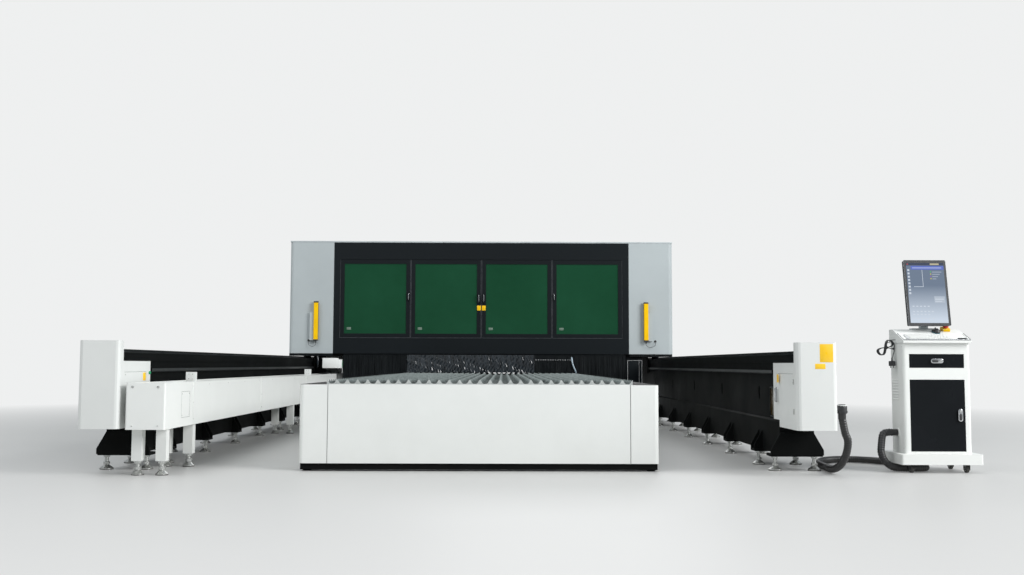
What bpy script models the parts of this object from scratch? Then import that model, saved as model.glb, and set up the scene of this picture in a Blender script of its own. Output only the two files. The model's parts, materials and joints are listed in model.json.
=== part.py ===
"""Fiber laser cutting machine with a travelling enclosed gantry, side beams, slat table and console.

Metres. +X runs across the machine, +Y away from the operator's end, +Z up. The origin is the floor
point under the middle of the slat table.
"""

import math

import bmesh
import bpy
from mathutils import Matrix, Vector

# Shared clearances and counts
GAP = 0.0003
OVERLAP = 0.006
MERGE_DISTANCE = 0.00001
CUT_OVERRUN = 0.03
SLIDE_CLEARANCE = 0.002
ARC_STEPS = 3
ROUND_SIDES = 12
FOOT_SIDES = 6

# Slat table
TABLE_LENGTH = 10.0
TABLE_WIDTH = 2.785
TABLE_TOP = 0.665
PANEL_BOTTOM = 0.060
PANEL_SKIN = 0.018
PANEL_LIP = 0.115
CORNER_WRAP = 0.218
CORNER_RADIUS = 0.030
SEAM = 0.003
PLINTH_BOTTOM = 0.012
PLINTH_INSET = 0.012
PLINTH_WIDTH = 0.080
FRAME_TUBE = 0.080
FRAME_RAIL_HEIGHT = 0.120
FRAME_TOP = 0.560
FRAME_INSET = 0.030
FRAME_BAYS = 8
FLOOR_PAD_RADIUS = 0.034
FLOOR_PAD_HEIGHT = 0.022
CENTRE_PAD_RADIUS = 0.062
CENTRE_POST_WIDTH = 0.060

# Slat pallets
PALLET_COUNT = 3
PALLET_END_CLEARANCE = 0.012
COMB_WIDTH = 0.040
COMB_HEIGHT = 0.090
COMB_INSET = 0.190
SLAT_THICKNESS = 0.010
SLAT_SEAT = 0.010
SLAT_BOTTOM_RISE = 0.020
SLAT_VALLEY = 0.668
SLAT_TIP = 0.700
SLAT_PITCH = 0.265
TOOTH_PITCH = 0.190

# Side beams
MACHINE_CENTRE = -0.140
BEAM_SPACING = 5.230
BEAM_FRONT = -4.950
BEAM_REAR = 5.150
BEAM_WIDTH = 0.230
BEAM_FOOT_WIDTH = 0.270
BEAM_BOTTOM = 0.130
LEDGE_HEIGHT = 0.385
LEDGE_SLOPE = 0.012
CAP_WIDTH = 0.256
CAP_HEIGHT = 0.060
CAP_TOP = 0.905
CAP_FRONT = -5.365
FRONT_FOOT_INSET = 0.600
REAR_FOOT_INSET = 0.780
FOOT_ROWS = 9
FOOT_PLATE_WIDTH = 0.410
FOOT_PLATE_DEPTH = 0.150
FOOT_PLATE_THICKNESS = 0.020
GUSSET_THICKNESS = 0.014
GUSSET_SPREAD = 0.055
GUSSET_LOW = 0.165
GUSSET_TOP = 0.300
FOOT_OFFSET = 0.155
FOOT_RADIUS = 0.050
FOOT_CONE = 0.030
STUD_RADIUS = 0.014
SLOT_WIDTH = 0.045
SLOT_HEIGHT = 0.120
SLOT_CENTRE = 0.590
FIRST_SLOT = -4.240
SLOT_SPACING = 1.500
SLOT_COUNT = 7
WINDOW_START = -4.840
WINDOW_END = -4.580
WINDOW_LOW = 0.407
WINDOW_HIGH = 0.650
WINDOW_DEPTH = 0.180
RACK_WIDTH = 0.022
RACK_HEIGHT = 0.030

# Guide rails
RAIL_WIDTH = 0.034
RAIL_WAIST = 0.020
RAIL_HEIGHT = 0.028
RAIL_FOOT = 0.010
RAIL_HEAD = 0.012
RAIL_END_INSET = 0.045

# End covers of the beams
COVER_FRONT = -5.450
COVER_WIDTH = 0.300
COVER_OFFSET = 0.017
COVER_BOTTOM = 0.345
COVER_TOP = 0.992
COVER_TALL_DEPTH = 0.080
COVER_LOW_TOP = 0.841
COVER_REAR = -4.780
COVER_WALL = 0.012
COVER_RADIUS = 0.030
DOOR_THICKNESS = 0.010
SIDE_DOOR_FRONT = -5.345
SIDE_DOOR_REAR = -4.870
SIDE_DOOR_LOW = 0.421
SIDE_DOOR_HIGH = 0.760
SIDE_DOOR_SETBACK = 0.001
SIDE_HANDLE_LENGTH = 0.105
SIDE_HANDLE_HEIGHT = 0.592
SIDE_HANDLE_WIDTH = 0.016
SIDE_HANDLE_DEPTH = 0.014
SIDE_HANDLE_EDGE = 0.045

# Chain trough
TROUGH_OUTER = -2.575
TROUGH_INNER = -2.285
TROUGH_BOTTOM = 0.340
TROUGH_TOP = 0.680
TROUGH_WALL = 0.010
TROUGH_LIP = 0.024
TROUGH_START = -4.780
TROUGH_END = 4.900
END_BOX_FRONT = -5.440
END_BOX_RADIUS = 0.012
LEG_WIDTH = 0.075
LEG_INSET = 0.018
LEG_BOTTOM = 0.105
LEG_FOOT_RADIUS = 0.044
LEG_STUD_RADIUS = 0.016
LEG_ROW_SHARES = (0.014, 0.427, 0.778)
END_BOX_LEG_SETBACK = 0.140
GUIDE_BRACKET_ROW_SHARES = (0.014, 0.535)
GUIDE_BRACKET_WIDTH = 0.060
GUIDE_BRACKET_DEPTH = 0.020
GUIDE_BRACKET_TOP = 0.755
GUIDE_BRACKET_INSET = 0.065

# Energy chain
CHAIN_WIDTH = 0.160
CHAIN_THICKNESS = 0.080
CHAIN_BEND_RADIUS = 0.108
CHAIN_BEND_PLACE = 0.000
CHAIN_FIXED_END = 0.900
CHAIN_LINK = 0.110
CHAIN_STEP = 0.010

# Gantry and cabin
CABIN_FRONT = 2.290
CABIN_DEPTH = 2.200
CABIN_WIDTH = 5.676
CABIN_BOTTOM = 0.980
CABIN_TOP = 2.650
ROOF_THICKNESS = 0.025
TOWER_WIDTH = 0.650
TOWER_WALL = 0.020
TOWER_RADIUS = 0.055
TOWER_FLOOR = 0.020
TOWER_FLOOR_DEPTH = 0.280
FRAME_DEPTH = 0.100
FRAME_RECESS = 0.072
OPENING_WIDTH = 4.193
OPENING_LOW = 1.209
HEADER_HEIGHT = 0.273
REAR_LIP = 0.050
LEAF_SETBACK = 0.008
LEAF_THICKNESS = 0.026
LEAF_STILE = 0.065
LEAF_LIP = 0.008
LEAF_REBATE = 0.014
PANE_THICKNESS = 0.010
LEAF_FOLD_OFFSET = 0.010
BARREL_RADIUS = 0.009
BARREL_LENGTH = 0.090
BARREL_SHARES = (0.12, 0.50, 0.88)
BARREL_TAB = 0.040
BARREL_TAB_THICKNESS = 0.004
PULL_LENGTH = 0.130
PULL_HEIGHT_SHARE = 0.5017
PULL_EDGE = 0.036
PULL_BAR = 0.016
PULL_REACH = 0.045
GRIP_LENGTH = 0.110
GRIP_HEIGHT_SHARE = 0.5231
GRIP_EDGE = 0.030
GRIP_BAR = 0.014
GRIP_REACH = 0.030
REAR_PANEL_DEPTH = 0.060
REAR_SEAM_DEPTH = 0.010
REAR_SEAM_WIDTH = 0.012
REAR_PANELS = 4
SKIRT_BOTTOM = 0.715
SKIRT_DEPTH = 0.030
SKIRT_SHEET = 0.008
SKIRT_SETBACK = 0.030
SKIRT_PLEAT = 0.170
SKIRT_LEFT = 2.025
SKIRT_RIGHT = 2.140
BAR_OFFSET = 2.402
BAR_WIDTH = 0.066
BAR_DEPTH = 0.050
BAR_BOTTOM = 1.163
BAR_TOP = 1.745
BAR_RADIUS = 0.010
BAR_STAND_OFF = 0.020
BRACKET_WIDTH = 0.058
BRACKET_BOTTOM = 1.172
BRACKET_TOP = 1.585

# Gantry structure
CARRIAGE_PLATE = 0.035
CARRIAGE_INSET = 0.050
CARRIAGE_HALF_WIDTH = 0.150
CHAIN_SHELF = 0.430
BLOCK_WIDTH = 0.080
BLOCK_LENGTH = 0.160
BLOCK_INSET = 0.250
BLOCK_SKIRT = 0.006
GUARD_THICKNESS = 0.012
GUARD_BOTTOM = 0.700
GUARD_CLEARANCE = 0.012
PEDESTAL_WIDTH = 0.220
PEDESTAL_TOP = 1.220
GANTRY_BEAM_Y = 3.500
GANTRY_BEAM_DEPTH = 0.300
GANTRY_BEAM_HEIGHT = 0.340
GANTRY_BEAM_OVERHANG = 0.085
GANTRY_BEAM_CHAMFER = 0.030
RIDGE_HEIGHT = 0.030
RIDGE_PROUD = 0.015
RIDGE_LOW = 0.050
RIDGE_HIGH = 0.260
ARM_WIDTH = 0.290
ARM_LENGTH = 0.420
ARM_PLACE = 3.200
ARM_BOTTOM = 0.692
ARM_STEP = 0.070
ARM_TONGUE_WIDTH = 0.100
ARM_CLEARANCE = 0.010

# Cutting head
HEAD_PLATE_WIDTH = 0.320
HEAD_PLATE_THICKNESS = 0.060
HEAD_PLATE_LOW = 1.235
HEAD_PLATE_HIGH = 1.620
MOTOR_RADIUS = 0.045
MOTOR_HEIGHT = 0.140
MOTOR_SETBACK = 0.003
HEAD_WIDTH = 0.180
HEAD_DEPTH = 0.120
HEAD_LOW = 1.060
HEAD_HIGH = 1.560
HEAD_CHAMFER = 0.020
COLLIMATOR_RADIUS = 0.040
COLLIMATOR_HEIGHT = 0.160
NOZZLE_COLLAR = 0.046
NOZZLE_TIP_RADIUS = 0.008
NOZZLE_TIP = 0.800
NOZZLE_SHOULDER = 0.930

# Console
CONSOLE_X = 3.550
CONSOLE_BASE_FRONT = -5.100
CONSOLE_BASE_WIDTH = 0.627
CONSOLE_BASE_DEPTH = 0.410
CONSOLE_BASE_LOW = 0.066
CONSOLE_BASE_HIGH = 0.145
CONSOLE_BASE_RADIUS = 0.012
BODY_FRONT = -5.030
BODY_WIDTH = 0.520
BODY_DEPTH = 0.270
BODY_TOP = 1.000
BODY_WALL = 0.018
BODY_RADIUS = 0.018
CONSOLE_DOOR_WIDTH = 0.428
CONSOLE_DOOR_LOW = 0.162
CONSOLE_DOOR_HIGH = 0.716
DRAWER_LOW = 0.806
DRAWER_HIGH = 0.914
DRAWER_DEPTH = 0.220
DRAWER_WALL = 0.006
FRONT_THICKNESS = 0.016
FRONT_REVEAL = 0.002
CUP_LENGTH = 0.098
CUP_WIDTH = 0.036
CUP_PROUD = 0.006
DOOR_CUP_HEIGHT = 0.442
DOOR_CUP_EDGE = 0.040
DESK_OVERHANG = 0.030
DESK_WIDTH = 0.530
DESK_FRONT_HEIGHT = 0.018
DESK_RISE = 0.092
DESK_REAR_SHELF = 0.070
KEYBOARD_WIDTH = 0.355
KEYBOARD_DEPTH = 0.110
KEYBOARD_THICKNESS = 0.012
KEYBOARD_EDGE = 0.016
KEYBOARD_SHIFT = -0.045
MOUSE_LENGTH = 0.085
MOUSE_WIDTH = 0.060
MOUSE_HEIGHT = 0.034
MOUSE_PLACE = (0.060, 0.185)
ESTOP_PLACE = (0.150, 0.228)
ESTOP_BOX = 0.060
ESTOP_BOX_HEIGHT = 0.022
ESTOP_STEM = 0.012
ESTOP_HEAD = 0.020
ESTOP_TRAVEL = 0.006
ESTOP_HEAD_RISE = 0.010
ESTOP_HEAD_HEIGHT = 0.014
MONITOR_WIDTH = 0.335
MONITOR_HEIGHT = 0.530
MONITOR_THICKNESS = 0.032
MONITOR_RADIUS = 0.008
MONITOR_TILT = 9.0
MONITOR_BOTTOM = 1.140
MONITOR_Y = -4.925
ARM_PIVOT_HEIGHT = 1.380
ARM_PIVOT_BACK = 0.110
ARM_PIVOT_RADIUS = 0.014
ARM_PIVOT_LENGTH = 0.060
ARM_EAR = 0.016
ARM_FOOT_WIDTH = 0.210
ARM_FOOT_DEPTH = 0.064
ARM_FOOT_THICKNESS = 0.010
ARM_POST_WIDTH = 0.060
ARM_POST_DEPTH = 0.040

# Casters
CASTER_INSET_X = 0.100
CASTER_INSET_Y = 0.060
WHEEL_RADIUS = 0.030
WHEEL_WIDTH = 0.022
AXLE_RADIUS = 0.0045
FORK_WALL = 0.004
FORK_DEPTH = 0.040
FORK_TRAIL = 0.018
FORK_CLEARANCE = 0.0015

# Hose between the right end cover and the console
HOSE_RADIUS = 0.029
ELBOW_REACH = 0.048
ELBOW_SETBACK = 0.065
ELBOW_BOTTOM = 0.470
ELBOW_HEIGHT = 0.062
ELBOW_RADIUS = 0.036
ELBOW_NECK = 0.024
GLAND_HEIGHT = 0.300
GLAND_SETBACK = 0.140
GLAND_RADIUS = 0.036
GLAND_LENGTH = 0.006
HOSE_ROUTE = (
    (2.690, -5.385, 0.430),
    (2.712, -5.380, 0.325),
    (2.735, -5.368, 0.265),
    (2.733, -5.335, 0.172),
    (2.716, -5.265, 0.088),
    (2.704, -5.160, 0.044),
    (2.704, -5.030, 0.0300),
    (2.718, -4.880, 0.0300),
    (2.730, -4.720, 0.0300),
    (2.762, -4.550, 0.0300),
    (2.832, -4.385, 0.0300),
    (2.940, -4.265, 0.0300),
    (3.080, -4.215, 0.0300),
    (3.215, -4.255, 0.0300),
    (3.320, -4.365, 0.0300),
    (3.400, -4.510, 0.0300),
    (3.470, -4.670, 0.0300),
    (3.510, -4.810, 0.0300),
    (3.485, -4.920, 0.0300),
    (3.395, -4.962, 0.0300),
    (3.300, -4.948, 0.0300),
    (3.222, -4.944, 0.037),
    (3.165, -4.938, 0.080),
    (3.140, -4.928, 0.145),
    (3.148, -4.914, 0.212),
    (3.168, -4.896, 0.284),
    (3.208, -4.890, 0.300),
    (3.245, -4.890, 0.300),
)
HOSE_POINTS = 64
HOSE_RESOLUTION = 2

# Values worked out from the driving sizes
TABLE_FRONT = -TABLE_LENGTH / 2
TABLE_REAR = TABLE_LENGTH / 2
TABLE_HALF = TABLE_WIDTH / 2
LEFT_BEAM = MACHINE_CENTRE - BEAM_SPACING / 2
RIGHT_BEAM = MACHINE_CENTRE + BEAM_SPACING / 2
RAIL_BASE = CAP_TOP + GAP
RAIL_TOP = RAIL_BASE + RAIL_HEIGHT
CABIN_REAR = CABIN_FRONT + CABIN_DEPTH
CABIN_LEFT = MACHINE_CENTRE - CABIN_WIDTH / 2
CABIN_RIGHT = MACHINE_CENTRE + CABIN_WIDTH / 2
ROOF_BOTTOM = CABIN_TOP - ROOF_THICKNESS
OPENING_HIGH = CABIN_TOP - HEADER_HEIGHT
OPENING_HEIGHT = OPENING_HIGH - OPENING_LOW
PULL_HEIGHT = OPENING_LOW + OPENING_HEIGHT * PULL_HEIGHT_SHARE
GRIP_HEIGHT = OPENING_LOW + OPENING_HEIGHT * GRIP_HEIGHT_SHARE
GANTRY_BEAM_HALF = BEAM_SPACING / 2 + GANTRY_BEAM_OVERHANG
FIRST_FOOT = BEAM_FRONT + FRONT_FOOT_INSET
FOOT_SPACING = (BEAM_REAR - REAR_FOOT_INSET - FIRST_FOOT) / (FOOT_ROWS - 1)
FRAME_LEFT = CABIN_LEFT + TOWER_WIDTH + GAP
FRAME_RIGHT = CABIN_RIGHT - TOWER_WIDTH - GAP
OPENING_LEFT = MACHINE_CENTRE - OPENING_WIDTH / 2
OPENING_RIGHT = MACHINE_CENTRE + OPENING_WIDTH / 2
LEAF_WIDTH = OPENING_WIDTH / 4
LEAF_FRONT = CABIN_FRONT + LEAF_SETBACK
LEAF_BACK = LEAF_FRONT + LEAF_THICKNESS
CARRIAGE_TOP = CABIN_BOTTOM - GAP
CARRIAGE_LOW = CARRIAGE_TOP - CARRIAGE_PLATE
BODY_LOW = CONSOLE_BASE_HIGH + GAP
TROUGH_FLOOR = TROUGH_BOTTOM + TROUGH_WALL
CHAIN_CENTRE = (TROUGH_OUTER + TROUGH_INNER) / 2
CHAIN_TOP = TROUGH_FLOOR + GAP + CHAIN_THICKNESS + 2 * CHAIN_BEND_RADIUS

FINISHES = {
    "white_paint": ((0.80, 0.81, 0.80), 0.40, 0.0),
    "grey_paint": ((0.60, 0.63, 0.64), 0.42, 0.0),
    "black_paint": ((0.018, 0.020, 0.022), 0.45, 0.0),
    "frame_black": ((0.012, 0.013, 0.015), 0.35, 0.0),
    "galvanised": ((0.52, 0.56, 0.54), 0.45, 0.8),
    "machined_steel": ((0.55, 0.55, 0.55), 0.30, 0.9),
    "green_pane": ((0.012, 0.110, 0.045), 0.10, 0.0),
    "yellow_paint": ((0.78, 0.55, 0.03), 0.40, 0.0),
    "red_plastic": ((0.70, 0.04, 0.04), 0.35, 0.0),
    "black_plastic": ((0.020, 0.020, 0.022), 0.50, 0.0),
    "curtain_black": ((0.015, 0.015, 0.017), 0.55, 0.0),
    "pale_plastic": ((0.70, 0.72, 0.72), 0.45, 0.0),
    "rubber": ((0.025, 0.025, 0.025), 0.70, 0.0),
}


# Helpers
def clear_scene():
    for obj in list(bpy.data.objects):
        bpy.data.objects.remove(obj, do_unlink=True)


def finish_material(name):
    if name in bpy.data.materials:
        return bpy.data.materials[name]
    colour, roughness, metallic = FINISHES[name]
    material = bpy.data.materials.new(name)
    material.use_nodes = True
    shader = material.node_tree.nodes["Principled BSDF"]
    shader.inputs["Base Color"].default_value = (*colour, 1.0)
    shader.inputs["Roughness"].default_value = roughness
    shader.inputs["Metallic"].default_value = metallic
    material.diffuse_color = (*colour, 1.0)
    return material


def arc(centre, radius, start, sweep, steps):
    """Points on an arc about a 2-D centre, angles in degrees."""
    points = []
    for step in range(steps + 1):
        angle = math.radians(start + sweep * step / steps)
        points.append((centre[0] + radius * math.cos(angle), centre[1] + radius * math.sin(angle)))
    return points


def rounded_rectangle(low, high, radius, rounded=(True, True, True, True)):
    """Outline of a rectangle; rounded says which corners, from the low corner anticlockwise."""
    corners = (
        (low[0], low[1], 180),
        (high[0], low[1], 270),
        (high[0], high[1], 0),
        (low[0], high[1], 90),
    )
    points = []
    for (x, y, start), soft in zip(corners, rounded):
        if soft:
            inward_x = radius if x == low[0] else -radius
            inward_y = radius if y == low[1] else -radius
            points += arc((x + inward_x, y + inward_y), radius, start, 90, ARC_STEPS)
        else:
            points.append((x, y))
    return points


def prism(mesh, outline, axis, start, end):
    """Extrude a closed outline along X, Y or Z; its two values are the other axes in X, Y, Z order."""
    others = [index for index in range(3) if index != axis]
    vertices = []
    for first, second in outline:
        place = [start, start, start]
        place[others[0]] = first
        place[others[1]] = second
        vertices.append(mesh.verts.new(place))
    face = mesh.faces.new(vertices)
    grown = bmesh.ops.extrude_face_region(mesh, geom=[face])
    moved = [item for item in grown["geom"] if isinstance(item, bmesh.types.BMVert)]
    shift = Vector((0, 0, 0))
    shift[axis] = end - start
    bmesh.ops.translate(mesh, vec=shift, verts=moved)


def block(mesh, low, high):
    outline = ((low[0], low[1]), (high[0], low[1]), (high[0], high[1]), (low[0], high[1]))
    prism(mesh, outline, 2, low[2], high[2])


def turned(mesh, profile, centre, axis=2, sides=ROUND_SIDES):
    """Spin (radius, height) points about an axis through centre; the profile ends on the axis."""
    across = (axis + 1) % 3
    vertices = []
    for radius, height in profile:
        place = Vector(centre)
        place[axis] += height
        place[across] += radius
        vertices.append(mesh.verts.new(place))
    edges = [mesh.edges.new(pair) for pair in zip(vertices, vertices[1:])]
    direction = Vector((0, 0, 0))
    direction[axis] = 1
    bmesh.ops.spin(
        mesh,
        geom=vertices + edges,
        cent=centre,
        axis=direction,
        angle=2 * math.pi,
        steps=sides,
        use_merge=True,
        use_duplicate=False,
    )


def turned_ring(mesh, profile, centre, axis, sides):
    """Spin a closed (radius, height) outline that keeps clear of the axis, as a wheel with a bore."""
    turned(mesh, tuple(profile) + (profile[0],), centre, axis, sides)


def bore_radius(pin_radius):
    """Radius of a faceted bore whose flats clear a turning pin by the gap."""
    return (pin_radius + GAP) / math.cos(math.pi / ROUND_SIDES)


def rectangle_body(mesh, loops):
    """Body of rectangular loops in planes of constant Y, each joined to the next and the last to the first."""
    rows = []
    for (left, low, right, high), depth in loops:
        corners = ((left, low), (right, low), (right, high), (left, high))
        rows.append([mesh.verts.new((x, depth, z)) for x, z in corners])
    for row, after in zip(rows, rows[1:] + rows[:1]):
        for index in range(4):
            following = (index + 1) % 4
            mesh.faces.new((row[index], row[following], after[following], after[index]))


def inset(rectangle, amount):
    left, low, right, high = rectangle
    return (left + amount, low + amount, right - amount, high - amount)


def make(name, finish, build, origin=(0, 0, 0), helper=False):
    """Object called name whose mesh is filled by build, with its origin at the given place."""
    mesh = bmesh.new()
    build(mesh)
    bmesh.ops.remove_doubles(mesh, verts=mesh.verts, dist=MERGE_DISTANCE)
    bmesh.ops.recalc_face_normals(mesh, faces=mesh.faces)
    bmesh.ops.translate(mesh, vec=-Vector(origin), verts=mesh.verts)
    data = bpy.data.meshes.new(name)
    mesh.to_mesh(data)
    mesh.free()
    obj = bpy.data.objects.new(name, data)
    obj.location = origin
    bpy.context.scene.collection.objects.link(obj)
    if helper:
        obj.hide_render = True
        obj.display_type = "WIRE"
        return obj
    data.materials.append(finish_material(finish))
    data.shade_smooth()
    data.set_sharp_from_angle(angle=math.radians(35))
    return obj


def combine(target, build, operation="UNION"):
    """Join a second shape to the target, or cut it away, with an exact Boolean."""
    tool = make(f"{target.name}.tool{len(target.modifiers)}", None, build, target.location, helper=True)
    modifier = target.modifiers.new(operation.lower(), "BOOLEAN")
    modifier.operation = operation
    modifier.solver = "EXACT"
    modifier.object = tool
    return target


def stations(first, spacing, count):
    return [first + spacing * index for index in range(count)]


def levelling_foot(mesh, x, y, top, radius=FOOT_RADIUS, stud=STUD_RADIUS):
    profile = ((0, 0), (radius, 0), (stud, FOOT_CONE), (stud, top), (0, top))
    turned(mesh, profile, (x, y, 0), sides=FOOT_SIDES)


# Side beams and their rails
def side_beam(name, centre, inner_side):
    """Welded beam on levelling feet; inner_side is +1 where the table lies towards +X."""
    half = BEAM_WIDTH / 2
    foot_half = BEAM_FOOT_WIDTH / 2
    cap_half = CAP_WIDTH / 2
    plate_half = FOOT_PLATE_WIDTH / 2
    cap_low = CAP_TOP - CAP_HEIGHT
    foot_rows = stations(FIRST_FOOT, FOOT_SPACING, FOOT_ROWS)
    end_reach = FOOT_PLATE_DEPTH / 2 + OVERLAP / 2
    end_rows = [BEAM_FRONT + end_reach, BEAM_REAR - end_reach]

    def web(mesh):
        outline = [
            (centre - foot_half, BEAM_BOTTOM),
            (centre + foot_half, BEAM_BOTTOM),
            (centre + foot_half, LEDGE_HEIGHT),
            (centre + half, LEDGE_HEIGHT + LEDGE_SLOPE),
            (centre + half, cap_low + OVERLAP),
            (centre - half, cap_low + OVERLAP),
            (centre - half, LEDGE_HEIGHT + LEDGE_SLOPE),
            (centre - foot_half, LEDGE_HEIGHT),
        ]
        prism(mesh, outline, 1, BEAM_FRONT, BEAM_REAR)

    def cap(mesh):
        block(mesh, (centre - cap_half, CAP_FRONT, cap_low), (centre + cap_half, BEAM_REAR + OVERLAP, CAP_TOP))

    def gussets(mesh):
        top_half = foot_half - OVERLAP
        outline = [
            (centre - plate_half, BEAM_BOTTOM - OVERLAP),
            (centre + plate_half, BEAM_BOTTOM - OVERLAP),
            (centre + plate_half, GUSSET_LOW),
            (centre + top_half, GUSSET_TOP),
            (centre - top_half, GUSSET_TOP),
            (centre - plate_half, GUSSET_LOW),
        ]
        for row in foot_rows:
            for side in (-1, 1):
                middle = row + side * GUSSET_SPREAD
                prism(mesh, outline, 1, middle - GUSSET_THICKNESS / 2, middle + GUSSET_THICKNESS / 2)
        prism(mesh, outline, 1, BEAM_FRONT - GUSSET_THICKNESS, BEAM_FRONT + GUSSET_THICKNESS)
        prism(mesh, outline, 1, BEAM_REAR - GUSSET_THICKNESS, BEAM_REAR + GUSSET_THICKNESS)

    def plates(mesh):
        plate_low = BEAM_BOTTOM + OVERLAP / 2 - FOOT_PLATE_THICKNESS
        for row in foot_rows + end_rows:
            block(
                mesh,
                (centre - plate_half + OVERLAP / 2, row - FOOT_PLATE_DEPTH / 2, plate_low),
                (centre + plate_half - OVERLAP / 2, row + FOOT_PLATE_DEPTH / 2, BEAM_BOTTOM + OVERLAP / 2),
            )

    def feet(mesh):
        for row in foot_rows + end_rows:
            for side in (-1, 1):
                levelling_foot(mesh, centre + side * FOOT_OFFSET, row, BEAM_BOTTOM - OVERLAP / 2)

    def rack(mesh):
        face = centre + inner_side * half
        low, high = sorted((face - inner_side * OVERLAP, face + inner_side * RACK_WIDTH))
        rack_top = cap_low - 2 * RACK_HEIGHT
        start = COVER_REAR + CUT_OVERRUN
        block(mesh, (low, start, rack_top - RACK_HEIGHT), (high, BEAM_REAR - CUT_OVERRUN, rack_top))

    def slots(mesh):
        radius = SLOT_WIDTH / 2
        reach = SLOT_HEIGHT / 2 - radius
        for row in stations(FIRST_SLOT, SLOT_SPACING, SLOT_COUNT):
            outline = arc((row, SLOT_CENTRE + reach), radius, 0, 180, ARC_STEPS)
            outline += arc((row, SLOT_CENTRE - reach), radius, 180, 180, ARC_STEPS)
            prism(mesh, outline, 0, centre - half - CUT_OVERRUN, centre + half + CUT_OVERRUN)

    def window(mesh):
        outside = centre + inner_side * (half + CUT_OVERRUN)
        inside = centre + inner_side * (half - WINDOW_DEPTH)
        low, high = sorted((outside, inside))
        block(mesh, (low, WINDOW_START, WINDOW_LOW), (high, WINDOW_END, WINDOW_HIGH))

    beam = make(name, "black_paint", web, (centre, BEAM_FRONT, 0))
    for shape in (cap, gussets, plates, feet, rack):
        combine(beam, shape)
    combine(beam, slots, "DIFFERENCE")
    combine(beam, window, "DIFFERENCE")
    return beam


def guide_rail(name, centre):
    head = RAIL_WIDTH / 2
    waist = RAIL_WAIST / 2

    def profile(mesh):
        outline = [
            (centre - head, RAIL_BASE),
            (centre + head, RAIL_BASE),
            (centre + head, RAIL_BASE + RAIL_FOOT),
            (centre + waist, RAIL_BASE + RAIL_FOOT + OVERLAP / 2),
            (centre + waist, RAIL_TOP - RAIL_HEAD),
            (centre + head, RAIL_TOP - RAIL_HEAD + OVERLAP / 2),
            (centre + head, RAIL_TOP),
            (centre - head, RAIL_TOP),
            (centre - head, RAIL_TOP - RAIL_HEAD + OVERLAP / 2),
            (centre - waist, RAIL_TOP - RAIL_HEAD),
            (centre - waist, RAIL_BASE + RAIL_FOOT + OVERLAP / 2),
            (centre - head, RAIL_BASE + RAIL_FOOT),
        ]
        prism(mesh, outline, 1, CAP_FRONT + RAIL_END_INSET, BEAM_REAR - RAIL_END_INSET)

    return make(name, "machined_steel", profile, (centre, CAP_FRONT, RAIL_BASE))


# Covers on the beams' operator ends
def cover_edges(beam, outer_side):
    """Inner and outer faces of an end cover, as (inner x, outer x)."""
    middle = beam + outer_side * COVER_OFFSET
    return middle - outer_side * COVER_WIDTH / 2, middle + outer_side * COVER_WIDTH / 2


def elbow_end():
    """Lower end of the hose elbow on the right cover's outer side."""
    return cover_edges(RIGHT_BEAM, 1)[1] + ELBOW_REACH, COVER_FRONT + ELBOW_SETBACK, ELBOW_BOTTOM


def console_gland_end():
    """Outer end of the hose gland on the console's left side."""
    return console_edges(BODY_WIDTH)[0] - GLAND_LENGTH, BODY_FRONT + GLAND_SETBACK, GLAND_HEIGHT


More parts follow.
